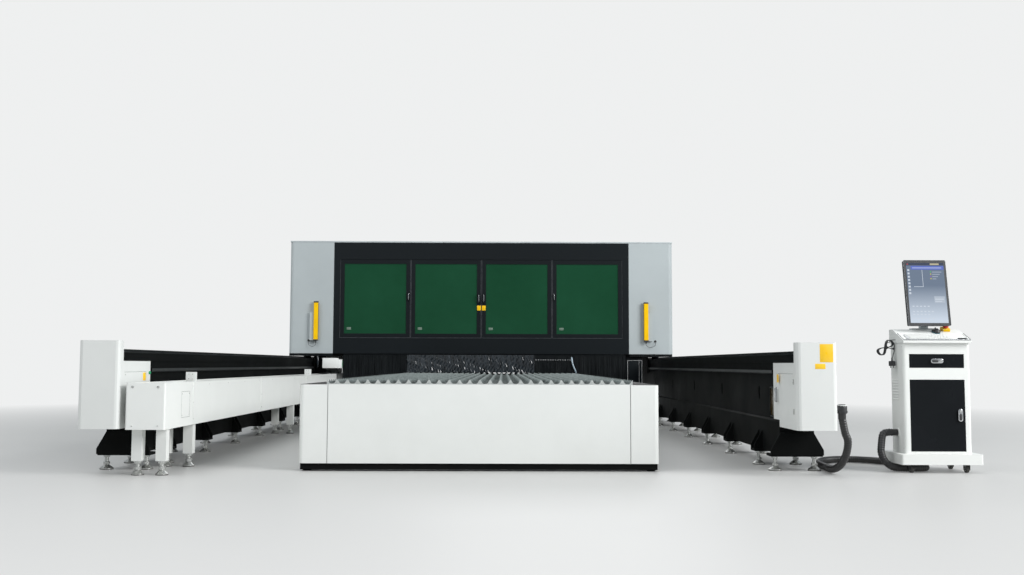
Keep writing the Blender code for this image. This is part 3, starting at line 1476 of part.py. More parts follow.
def leaf_pane(index):
    """Tinted laser-safety pane in the rebate at the back of its leaf."""
    left, right = leaf_edges(index)
    outer = (left, OPENING_LOW + GAP, right, OPENING_HIGH - SLIDE_CLEARANCE)
    pane = inset(outer, LEAF_STILE - LEAF_REBATE + GAP)
    front = LEAF_FRONT + LEAF_LIP + GAP
    hinge_x, hinge_y = leaf_hinge(index)

    def sheet(mesh):
        block(mesh, (pane[0], front, pane[1]), (pane[2], front + PANE_THICKNESS, pane[3]))

    return make(f"door_pane_{index + 1}", "green_pane", sheet, (hinge_x, hinge_y, OPENING_LOW))


def rear_panel(name):
    """Closed back of the cabin in folded panels with open seams, and its dust curtain fused below."""
    front = CABIN_REAR - REAR_PANEL_DEPTH
    width = (FRAME_RIGHT - FRAME_LEFT) / REAR_PANELS

    def body(mesh):
        outline = [(FRAME_LEFT, front), (FRAME_RIGHT, front), (FRAME_RIGHT, CABIN_REAR)]
        for index in range(REAR_PANELS - 1, 0, -1):
            seam = FRAME_LEFT + width * index
            outline += [
                (seam + REAR_SEAM_WIDTH / 2, CABIN_REAR),
                (seam + REAR_SEAM_WIDTH / 2, CABIN_REAR - REAR_SEAM_DEPTH),
                (seam - REAR_SEAM_WIDTH / 2, CABIN_REAR - REAR_SEAM_DEPTH),
                (seam - REAR_SEAM_WIDTH / 2, CABIN_REAR),
            ]
        outline.append((FRAME_LEFT, CABIN_REAR))
        prism(mesh, outline, 2, CABIN_BOTTOM, ROOF_BOTTOM - GAP)

    panel = make(name, "frame_black", body, (MACHINE_CENTRE, CABIN_REAR, CABIN_BOTTOM))
    return combine(panel, skirt_sheet(front + OVERLAP, CABIN_BOTTOM + OVERLAP))


def roof(name):
    def sheet(mesh):
        outline = rounded_rectangle((CABIN_LEFT, CABIN_FRONT), (CABIN_RIGHT, CABIN_REAR), TOWER_RADIUS)
        prism(mesh, outline, 2, ROOF_BOTTOM, CABIN_TOP)

    return make(name, "pale_plastic", sheet, (MACHINE_CENTRE, CABIN_FRONT, ROOF_BOTTOM))


def skirt_sheet(plane, top):
    """Builder of a pleated dust curtain that hangs from top to just over the slats."""
    left = MACHINE_CENTRE - SKIRT_LEFT
    right = MACHINE_CENTRE + SKIRT_RIGHT
    pleats = max(2, round((right - left) / SKIRT_PLEAT))
    pitch = (right - left) / pleats

    def sheet(mesh):
        wave = []
        for index in range(pleats):
            wave.append((left + pitch * index, 0))
            wave.append((left + pitch * (index + 0.5), SKIRT_DEPTH - SKIRT_SHEET))
        wave.append((right, 0))
        outline = [(x, plane + rise) for x, rise in wave]
        outline += [(x, plane + rise + SKIRT_SHEET) for x, rise in reversed(wave)]
        prism(mesh, outline, 2, SKIRT_BOTTOM, top)

    return sheet


def front_skirt(name):
    plane = CABIN_FRONT + SKIRT_SETBACK
    return make(name, "curtain_black", skirt_sheet(plane, CABIN_BOTTOM - GAP), (MACHINE_CENTRE, plane, SKIRT_BOTTOM))


# Console
def console_edges(width):
    return CONSOLE_X - width / 2, CONSOLE_X + width / 2


def console_base(name):
    left, right = console_edges(CONSOLE_BASE_WIDTH)
    rear = CONSOLE_BASE_FRONT + CONSOLE_BASE_DEPTH

    def plinth(mesh):
        outline = rounded_rectangle((left, CONSOLE_BASE_FRONT), (right, rear), CONSOLE_BASE_RADIUS)
        prism(mesh, outline, 2, CONSOLE_BASE_LOW, CONSOLE_BASE_HIGH)

    return make(name, "white_paint", plinth, (CONSOLE_X, CONSOLE_BASE_FRONT, CONSOLE_BASE_LOW))


def front_rectangle(low, high):
    left, right = console_edges(CONSOLE_DOOR_WIDTH)
    return left, low, right, high


def console_body(name):
    """Cabinet shell with a door space, a drawer space and the hose gland on its left side."""
    left, right = console_edges(BODY_WIDTH)
    rear = BODY_FRONT + BODY_DEPTH

    def shell(mesh):
        outline = rounded_rectangle((left, BODY_FRONT), (right, rear), BODY_RADIUS)
        prism(mesh, outline, 2, BODY_LOW, BODY_TOP)

    def spaces(mesh):
        for low, high in ((CONSOLE_DOOR_LOW, CONSOLE_DOOR_HIGH), (DRAWER_LOW, DRAWER_HIGH)):
            x_low, z_low, x_high, z_high = front_rectangle(low, high)
            block(mesh, (x_low, BODY_FRONT - CUT_OVERRUN, z_low), (x_high, rear - BODY_WALL, z_high))

    def gland(mesh):
        reach = GLAND_LENGTH + OVERLAP
        profile = ((0, 0), (GLAND_RADIUS, 0), (GLAND_RADIUS, reach), (0, reach))
        turned(mesh, profile, console_gland_end(), axis=0)

    body = make(name, "white_paint", shell, (CONSOLE_X, BODY_FRONT, BODY_LOW))
    combine(body, spaces, "DIFFERENCE")
    return combine(body, gland)


def cup_handle(mesh, middle_x, middle_z, upright):
    """Oval handle plate that stands a little proud of a console front."""
    half_long, half_short = CUP_LENGTH / 2, CUP_WIDTH / 2
    half_x, half_z = (half_short, half_long) if upright else (half_long, half_short)
    face = BODY_FRONT - CUP_PROUD
    low = (middle_x - half_x, middle_z - half_z)
    high = (middle_x + half_x, middle_z + half_z)
    prism(mesh, rounded_rectangle(low, high, half_short), 1, face, BODY_FRONT + OVERLAP)


def console_door(name):
    x_low, z_low, x_high, z_high = front_rectangle(CONSOLE_DOOR_LOW, CONSOLE_DOOR_HIGH)
    left = x_low + FRONT_REVEAL
    right = x_high - FRONT_REVEAL

    def panel(mesh):
        block(mesh, (left, BODY_FRONT, z_low + GAP), (right, BODY_FRONT + FRONT_THICKNESS, z_high - FRONT_REVEAL))

    door = make(name, "frame_black", panel, (left, BODY_FRONT, z_low))
    return combine(door, lambda mesh: cup_handle(mesh, right - DOOR_CUP_EDGE, DOOR_CUP_HEIGHT, True))


def console_drawer(name):
    """Drawer: front panel with an open-topped tray behind it."""
    x_low, z_low, x_high, z_high = front_rectangle(DRAWER_LOW, DRAWER_HIGH)
    left = x_low + FRONT_REVEAL
    right = x_high - FRONT_REVEAL
    tray_back = BODY_FRONT + DRAWER_DEPTH

    def box(mesh):
        block(mesh, (left, BODY_FRONT, z_low + GAP), (right, tray_back, z_high - FRONT_REVEAL))

    def hollow(mesh):
        low = (left + DRAWER_WALL, BODY_FRONT + FRONT_THICKNESS, z_low + GAP + DRAWER_WALL)
        block(mesh, low, (right - DRAWER_WALL, tray_back - DRAWER_WALL, z_high + CUT_OVERRUN))

    def lowered_sides(mesh):
        low = (left - CUT_OVERRUN, BODY_FRONT + FRONT_THICKNESS, z_high - CUT_OVERRUN)
        block(mesh, low, (right + CUT_OVERRUN, tray_back + CUT_OVERRUN, z_high + CUT_OVERRUN))

    drawer = make(name, "frame_black", box, (CONSOLE_X, BODY_FRONT, z_low))
    combine(drawer, hollow, "DIFFERENCE")
    combine(drawer, lowered_sides, "DIFFERENCE")
    middle = (z_low + z_high) / 2
    return combine(drawer, lambda mesh: cup_handle(mesh, CONSOLE_X, middle, False))


def desk_slope():
    """Angle of the desk's sloping top, in radians."""
    run = BODY_DEPTH + DESK_OVERHANG - DESK_REAR_SHELF
    return math.atan2(DESK_RISE, run)


def desk_point(across, along, above=0.0):
    """World place of a point on the sloping desk: across from the middle, up the slope, above it."""
    slope = desk_slope()
    front = BODY_FRONT - DESK_OVERHANG
    height = BODY_TOP + GAP + DESK_FRONT_HEIGHT
    return (
        CONSOLE_X + across,
        front + along * math.cos(slope) - above * math.sin(slope),
        height + along * math.sin(slope) + above * math.cos(slope),
    )


def desk(name):
    """Sloping desk with a flat shelf behind it and the stop button's box on its right."""
    left, right = console_edges(DESK_WIDTH)
    front = BODY_FRONT - DESK_OVERHANG
    rear = BODY_FRONT + BODY_DEPTH
    low = BODY_TOP + GAP
    brow = low + DESK_FRONT_HEIGHT + DESK_RISE

    def wedge(mesh):
        outline = [
            (front, low),
            (rear, low),
            (rear, brow),
            (rear - DESK_REAR_SHELF, brow),
            (front, low + DESK_FRONT_HEIGHT),
        ]
        prism(mesh, outline, 0, left, right)

    def stop_box(mesh):
        half = ESTOP_BOX / 2
        sloped_box(mesh, ESTOP_PLACE, (half, half), -OVERLAP, ESTOP_BOX_HEIGHT)

    def stop_bore(mesh):
        sloped_turn(mesh, ESTOP_PLACE, bore_radius(ESTOP_STEM), ESTOP_HEAD_RISE - ESTOP_TRAVEL - OVERLAP, ESTOP_BOX_HEIGHT + CUT_OVERRUN)

    body = make(name, "white_paint", wedge, (CONSOLE_X, BODY_FRONT, low))
    combine(body, stop_box)
    return combine(body, stop_bore, "DIFFERENCE")


def tilt_about(mesh, vertices, centre, angle):
    """Turn new vertices about an X axis through centre."""
    bmesh.ops.rotate(mesh, verts=vertices, cent=centre, matrix=Matrix.Rotation(angle, 3, "X"))


def sloped_box(mesh, place, half, low, high):
    """Box standing square on the sloping desk."""
    before = set(mesh.verts)
    centre = Vector(desk_point(*place))
    block(
        mesh,
        (centre.x - half[0], centre.y - half[1], centre.z + low),
        (centre.x + half[0], centre.y + half[1], centre.z + high),
    )
    tilt_about(mesh, [v for v in mesh.verts if v not in before], centre, desk_slope())


def sloped_turn(mesh, place, radius, low, high):
    """Cylinder standing square on the sloping desk."""
    before = set(mesh.verts)
    centre = Vector(desk_point(*place))
    turned(mesh, ((0, low), (radius, low), (radius, high), (0, high)), centre)
    bmesh.ops.remove_doubles(mesh, verts=mesh.verts, dist=MERGE_DISTANCE)
    tilt_about(mesh, [v for v in mesh.verts if v not in before], centre, desk_slope())


def stop_button(name):
    """Mushroom head on a stem in the bore of the stop box."""
    centre = Vector(desk_point(*ESTOP_PLACE))
    base = ESTOP_HEAD_RISE
    head = ESTOP_BOX_HEIGHT + ESTOP_TRAVEL + GAP
    top = head + ESTOP_HEAD_HEIGHT
    shoulder = ESTOP_HEAD * 0.8

    def body(mesh):
        profile = (
            (0, base),
            (ESTOP_STEM, base),
            (ESTOP_STEM, head),
            (ESTOP_HEAD, head),
            (ESTOP_HEAD, head + ESTOP_HEAD_HEIGHT / 2),
            (shoulder, top),
            (0, top),
        )
        turned(mesh, profile, centre)
        bmesh.ops.remove_doubles(mesh, verts=mesh.verts, dist=MERGE_DISTANCE)
        tilt_about(mesh, list(mesh.verts), centre, desk_slope())

    return make(name, "red_plastic", body, desk_point(*ESTOP_PLACE, head))


def keyboard(name):
    along = KEYBOARD_EDGE + KEYBOARD_DEPTH / 2

    def body(mesh):
        half = (KEYBOARD_WIDTH / 2, KEYBOARD_DEPTH / 2)
        sloped_box(mesh, (KEYBOARD_SHIFT, along), half, GAP, GAP + KEYBOARD_THICKNESS)

    return make(name, "black_plastic", body, desk_point(KEYBOARD_SHIFT, along))


def mouse(name):
    """Low rounded mouse lying on the slope."""

    def body(mesh):
        before = set(mesh.verts)
        centre = Vector(desk_point(*MOUSE_PLACE))
        half = MOUSE_WIDTH / 2
        outline = rounded_rectangle(
            (centre.x - half, centre.y - MOUSE_LENGTH / 2), (centre.x + half, centre.y + MOUSE_LENGTH / 2), half * 0.9
        )
        prism(mesh, outline, 2, centre.z + GAP, centre.z + GAP + MOUSE_HEIGHT * 0.55)
        top = [face for face in mesh.faces if face.calc_center_median().z > centre.z + MOUSE_HEIGHT / 2]
        bmesh.ops.inset_region(mesh, faces=top, thickness=half * 0.35, depth=0)
        raised = {vertex for face in top for vertex in face.verts}
        bmesh.ops.translate(mesh, vec=(0, 0, MOUSE_HEIGHT * 0.45), verts=list(raised))
        tilt_about(mesh, [v for v in mesh.verts if v not in before], centre, desk_slope())

    return make(name, "black_plastic", body, desk_point(*MOUSE_PLACE))


def monitor_pivot():
    return CONSOLE_X, MONITOR_Y + ARM_PIVOT_BACK, ARM_PIVOT_HEIGHT


def monitor_arm(name):
    """Post on the desk's shelf with a pin across its top that carries the monitor."""
    _, pivot_y, pivot_z = monitor_pivot()
    shelf = BODY_TOP + GAP + DESK_FRONT_HEIGHT + DESK_RISE
    foot_front = BODY_FRONT + BODY_DEPTH - DESK_REAR_SHELF + GAP

    def foot(mesh):
        half = ARM_FOOT_WIDTH / 2
        low = (CONSOLE_X - half, foot_front, shelf + GAP)
        block(mesh, low, (CONSOLE_X + half, foot_front + ARM_FOOT_DEPTH, shelf + GAP + ARM_FOOT_THICKNESS))

    def post(mesh):
        half = ARM_POST_WIDTH / 2
        depth = ARM_POST_DEPTH
        base = shelf + GAP + ARM_FOOT_THICKNESS - OVERLAP / 2
        rear = foot_front + ARM_FOOT_DEPTH - OVERLAP
        top = pivot_z + ARM_PIVOT_RADIUS + OVERLAP / 2
        outline = [(rear - depth, base), (rear, base), (pivot_y + depth / 2, top), (pivot_y - depth / 2, top)]
        prism(mesh, outline, 0, CONSOLE_X - half, CONSOLE_X + half)

    def pin(mesh):
        half = ARM_POST_WIDTH / 2 + ARM_PIVOT_LENGTH / 2
        profile = ((0, -half), (ARM_PIVOT_RADIUS, -half), (ARM_PIVOT_RADIUS, half), (0, half))
        turned(mesh, profile, (CONSOLE_X, pivot_y, pivot_z), axis=0)

    arm = make(name, "grey_paint", post, monitor_pivot())
    combine(arm, foot)
    return combine(arm, pin)


def monitor(name):
    """Upright monitor that leans back, hung by two ears on the arm's pin."""
    half = MONITOR_WIDTH / 2
    centre_x, pivot_y, pivot_z = monitor_pivot()
    tilt = math.radians(MONITOR_TILT)
    foot = Vector((centre_x, MONITOR_Y, MONITOR_BOTTOM))
    back = foot.y + MONITOR_THICKNESS

    def casing(mesh):
        outline = rounded_rectangle(
            (centre_x - half, foot.z), (centre_x + half, foot.z + MONITOR_HEIGHT), MONITOR_RADIUS
        )
        prism(mesh, outline, 1, foot.y, back)
        tilt_about(mesh, list(mesh.verts), foot, -tilt)

    def ears(mesh):
        inner = ARM_POST_WIDTH / 2 + GAP
        outer_radius = ARM_PIVOT_RADIUS + ARM_EAR / 2
        for side in (-1, 1):
            low, high = sorted((centre_x + side * inner, centre_x + side * (inner + ARM_EAR)))
            face = foot.y + MONITOR_THICKNESS / 2 + (pivot_z - foot.z) * math.tan(tilt)
            reach = outer_radius * 1.6
            outline = [
                (face, pivot_z - reach),
                (pivot_y, pivot_z - outer_radius),
                (pivot_y + outer_radius, pivot_z - outer_radius / 2),
                (pivot_y + outer_radius, pivot_z + outer_radius / 2),
                (pivot_y, pivot_z + outer_radius),
                (face + OVERLAP, pivot_z + reach),
            ]
            prism(mesh, outline, 0, low, high)

    def bore(mesh):
        length = ARM_POST_WIDTH + 4 * ARM_EAR
        radius = bore_radius(ARM_PIVOT_RADIUS)
        profile = ((0, -length), (radius, -length), (radius, length), (0, length))
        turned(mesh, profile, (centre_x, pivot_y, pivot_z), axis=0)

    screen = make(name, "black_plastic", casing, monitor_pivot())
    combine(screen, ears)
    return combine(screen, bore, "DIFFERENCE")


# Casters
def caster_places():
    left, right = console_edges(CONSOLE_BASE_WIDTH)
    front = CONSOLE_BASE_FRONT + CASTER_INSET_Y
    rear = CONSOLE_BASE_FRONT + CONSOLE_BASE_DEPTH - CASTER_INSET_Y
    return {
        "front_left": (left + CASTER_INSET_X, front),
        "front_right": (right - CASTER_INSET_X, front),
        "rear_left": (left + CASTER_INSET_X, rear),
        "rear_right": (right - CASTER_INSET_X, rear),
    }


def caster_fork(name, place):
    """Swivel fork with its axle pin; the wheel trails behind the swivel axis."""
    x, y = place
    axle_y = y + FORK_TRAIL
    inner = WHEEL_WIDTH / 2 + FORK_CLEARANCE
    outer = inner + FORK_WALL
    top = CONSOLE_BASE_LOW - GAP
    crown = 2 * WHEEL_RADIUS + FORK_CLEARANCE / 2

    def fork(mesh):
        outline = [
            (x - outer, WHEEL_RADIUS - 2 * AXLE_RADIUS),
            (x - inner, WHEEL_RADIUS - 2 * AXLE_RADIUS),
            (x - inner, crown),
            (x + inner, crown),
            (x + inner, WHEEL_RADIUS - 2 * AXLE_RADIUS),
            (x + outer, WHEEL_RADIUS - 2 * AXLE_RADIUS),
            (x + outer, top),
            (x - outer, top),
        ]
        prism(mesh, outline, 1, y - FORK_DEPTH / 4, y + FORK_DEPTH)

    def axle(mesh):
        profile = ((0, -outer - OVERLAP / 4), (AXLE_RADIUS, -outer - OVERLAP / 4))
        profile += ((AXLE_RADIUS, outer + OVERLAP / 4), (0, outer + OVERLAP / 4))
        turned(mesh, profile, (x, axle_y, WHEEL_RADIUS), axis=0, sides=FOOT_SIDES)

    return combine(make(f"caster_fork_{name}", "black_plastic", fork, (x, y, top)), axle)


def caster_wheel(name, place):
    x, y = place
    half = WHEEL_WIDTH / 2
    shoulder = WHEEL_RADIUS - FORK_WALL
    bore = bore_radius(AXLE_RADIUS)

    def tread(mesh):
        profile = (
            (bore, -half),
            (shoulder, -half),
            (WHEEL_RADIUS, -half + FORK_WALL),
            (WHEEL_RADIUS, half - FORK_WALL),
            (shoulder, half),
            (bore, half),
        )
        turned_ring(mesh, profile, (x, y + FORK_TRAIL, WHEEL_RADIUS), 0, ROUND_SIDES)

    return make(f"caster_wheel_{name}", "rubber", tread, (x, y + FORK_TRAIL, WHEEL_RADIUS))


# Hose
def smooth_points(route, count):
    """Points at even distances along a smooth curve through the route's own points."""
    points = [Vector(point) for point in route]
    points = [2 * points[0] - points[1]] + points + [2 * points[-1] - points[-2]]
    dense = []
    steps = 24
    for before, start, end, after in zip(points, points[1:], points[2:], points[3:]):
        for step in range(steps):
            share = step / steps
            square, cube = share * share, share * share * share
            dense.append(
                0.5
                * (
                    2 * start
                    + (end - before) * share
                    + (2 * before - 5 * start + 4 * end - after) * square
                    + (3 * start - before - 3 * end + after) * cube
                )
            )
    dense.append(points[-2])
    lengths = [0.0]
    for start, end in zip(dense, dense[1:]):
        lengths.append(lengths[-1] + (end - start).length)
    even = []
    cursor = 0
    for index in range(count):
        target = lengths[-1] * index / (count - 1)
        while cursor < len(dense) - 2 and lengths[cursor + 1] < target:
            cursor += 1
        span = lengths[cursor + 1] - lengths[cursor]
        even.append(dense[cursor].lerp(dense[cursor + 1], (target - lengths[cursor]) / span))
    return even


def hose(name):
    """Corrugated hose as a plain tube from the end cover's gland, over the floor, to the console's gland."""
    start = Vector(elbow_end()) - Vector((0, 0, GAP))
    end = Vector(console_gland_end()) - Vector((GAP, 0, 0))
    data = bpy.data.curves.new(name, "CURVE")
    data.dimensions = "3D"
    data.bevel_depth = HOSE_RADIUS
    data.bevel_resolution = HOSE_RESOLUTION
    data.use_fill_caps = True
    spline = data.splines.new("POLY")
    points = [start] + smooth_points(HOSE_ROUTE, HOSE_POINTS) + [end]
    spline.points.add(len(points) - 1)
    for point, place in zip(spline.points, points):
        point.co = (*place, 1.0)
    data.materials.append(finish_material("rubber"))
    obj = bpy.data.objects.new(name, data)
    bpy.context.scene.collection.objects.link(obj)
    return obj


def main():
    clear_scene()
    side_beam("beam_left", LEFT_BEAM, 1)
    side_beam("beam_right", RIGHT_BEAM, -1)
    guide_rail("guide_rail_left", LEFT_BEAM)
    guide_rail("guide_rail_right", RIGHT_BEAM)
    end_cover("end_cover_left", LEFT_BEAM, -1, gland=False)
    end_cover("end_cover_right", RIGHT_BEAM, 1, gland=True)
    side_door("side_panel_left", LEFT_BEAM, -1, handle=False)
    side_door("side_door_right", RIGHT_BEAM, 1, handle=True)
    table_frame("table_frame")
    table_side_cover("table_side_left", -1)
    table_side_cover("table_side_right", 1)
    table_end_cover("table_front_cover", -1)
    table_end_cover("table_rear_cover", 1)
    for index in range(PALLET_COUNT):
        slat_pallet(f"slat_pallet_{index + 1}", index)
    chain_trough("chain_trough")
    trough_end_box("trough_end_box")
    energy_chain("energy_chain")
    end_carriage("end_carriage_left", LEFT_BEAM, 1, chain_side=True)
    end_carriage("end_carriage_right", RIGHT_BEAM, -1, chain_side=False)
    gantry_beam("gantry_beam")
    x_carriage("x_carriage")
    cutting_head("cutting_head")
    chain_arm("chain_arm")
    tower("tower_left", -1)
    tower("tower_right", 1)
    light_curtain("light_curtain_left", -1)
    light_curtain("light_curtain_right", 1)
    front_frame("front_frame")
    for index in range(4):
        door_leaf(index)
        leaf_pane(index)
    rear_panel("rear_panel")
    roof("roof")
    front_skirt("front_skirt")
    console_base("console_base")
    console_body("console_body")
    console_door("console_door")
    console_drawer("console_drawer")
    desk("desk")
    stop_button("stop_button")
    keyboard("keyboard")
    mouse("mouse")
    monitor_arm("monitor_arm")
    monitor("monitor")
    for name, place in caster_places().items():
        caster_fork(name, place)
        caster_wheel(name, place)
    hose("hose")


main()
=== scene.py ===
"""Looks of a large-format laser cutting machine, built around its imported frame."""

import json
import logging
import math
from dataclasses import dataclass
from enum import Enum
from functools import cache

import bmesh
import bpy
from mathutils import Matrix, Vector


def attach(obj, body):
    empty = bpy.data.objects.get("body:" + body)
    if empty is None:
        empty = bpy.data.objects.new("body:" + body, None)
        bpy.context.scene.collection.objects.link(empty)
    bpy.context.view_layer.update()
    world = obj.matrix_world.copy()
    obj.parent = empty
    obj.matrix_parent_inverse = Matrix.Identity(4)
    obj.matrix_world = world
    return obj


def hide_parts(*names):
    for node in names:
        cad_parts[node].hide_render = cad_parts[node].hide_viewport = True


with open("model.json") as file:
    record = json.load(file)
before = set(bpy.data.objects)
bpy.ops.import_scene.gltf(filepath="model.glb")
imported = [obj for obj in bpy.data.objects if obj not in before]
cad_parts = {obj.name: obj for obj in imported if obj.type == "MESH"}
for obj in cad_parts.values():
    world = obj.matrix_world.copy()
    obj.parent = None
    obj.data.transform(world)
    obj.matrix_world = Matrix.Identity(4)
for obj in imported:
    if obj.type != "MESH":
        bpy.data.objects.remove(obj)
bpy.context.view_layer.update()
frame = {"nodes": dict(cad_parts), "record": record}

logging.basicConfig(level=logging.INFO, format="%(message)s")
log = logging.getLogger("laser_cutter")

Point = tuple[float, float, float]
Flat = tuple[float, float]
Colour = tuple[float, float, float]

SMOOTH_ANGLE = math.radians(38.0)
MERGE_DISTANCE = 1e-6
LEVEL_LIMIT = 1e-7
GOLDEN_ANGLE = 2.399963
BEAM_CENTRES = (-2.755, 2.475)
BEAM_FOOT_ROWS = (-4.872, *[round(-4.35 + 1.09 * k, 3) for k in range(9)], 5.072)
BEAM_FOOT_STEP = 0.155
FLOAT, VECTOR, COLOUR = "NodeSocketFloat", "NodeSocketVector", "NodeSocketColor"
LOOK = {"Colour": COLOUR, "Roughness": FLOAT, "Height": FLOAT}


class Slot(Enum):
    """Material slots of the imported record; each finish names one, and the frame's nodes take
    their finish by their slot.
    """

    WHITE = "white_paint"
    GREY = "grey_paint"
    BLACK = "black_paint"
    FRAME = "frame_black"
    ZINC = "galvanised"
    STEEL = "machined_steel"
    PANE = "green_pane"
    YELLOW = "yellow_paint"
    RED = "red_plastic"
    PLASTIC = "black_plastic"
    CURTAIN = "curtain_black"
    PALE = "pale_plastic"
    RUBBER = "rubber"


class Rides(Enum):
    """Bodies of the frame."""

    BASE = "machine_base"
    GANTRY = "gantry"
    CARRIAGE = "x_carriage_body"
    HEAD = "head_body"
    COVER_DOOR = "cover_door"
    CABINET_DOOR = "cabinet_door"
    DRAWER = "drawer"
    MONITOR = "monitor_body"
    STOP = "stop_button_body"


class Along(Enum):
    """Row-frame axis that a shape is drawn or turned about."""

    X = 0
    Y = 1
    Z = 2

    def turn(self) -> Matrix:
        """Rotation that takes the local Z axis onto this axis.

        Returns:
            The rotation.
        """
        if self is Along.X:
            return Matrix.Rotation(math.pi / 2, 4, "Y")
        if self is Along.Y:
            return Matrix.Rotation(-math.pi / 2, 4, "X")
        return Matrix.Identity(4)


# ---------------------------------------------------------------- node groups
def fill(node: bpy.types.Node, values: dict) -> None:
    """Sets the constants of a node, given as input name or number to value."""
    for name, value in values.items():
        node.inputs[name].default_value = value


class Web:
    """One node tree, with short ways to make nodes and to join them."""

    def __init__(self, tree: bpy.types.NodeTree) -> None:
        """Works on the given tree."""
        self.tree = tree

    def add(self, kind: str, values: dict | None = None, **settings: object) -> bpy.types.Node:
        """Makes a node.

        Args:
            kind: Its type, without the shader prefix.
            values: Input name or number to value.
            settings: Properties of the node, set before the values.

        Returns:
            The node.
        """
        node = self.tree.nodes.new(f"ShaderNode{kind}")
        for name, value in settings.items():
            setattr(node, name, value)
        fill(node, values or {})
        return node

    def link(self, source: bpy.types.NodeSocket, target: bpy.types.NodeSocket) -> None:
        """Joins an output to an input."""
        self.tree.links.new(source, target)

    def join(self, *rows: tuple) -> None:
        """Joins nodes; each row is a node, its output, the next node and its input."""
        for source, output, target, entry in rows:
            self.link(source.outputs[output], target.inputs[entry])


def new_group(name: str, inputs: dict[str, tuple[str, object]], outputs: dict[str, str]) -> tuple:
    """Makes an empty node group with its sockets.

    Args:
        name: Name of the group.
        inputs: Socket name to (socket type, default value).
        outputs: Socket name to socket type.

    Returns:
        The group's web, its input node and its output node.
    """
    tree = bpy.data.node_groups.new(name, "ShaderNodeTree")
    for label, (kind, value) in inputs.items():
        socket = tree.interface.new_socket(label, in_out="INPUT", socket_type=kind)
        if value is not None:
            socket.default_value = value
    for label, kind in outputs.items():
        tree.interface.new_socket(label, in_out="OUTPUT", socket_type=kind)
    return Web(tree), tree.nodes.new("NodeGroupInput"), tree.nodes.new("NodeGroupOutput")


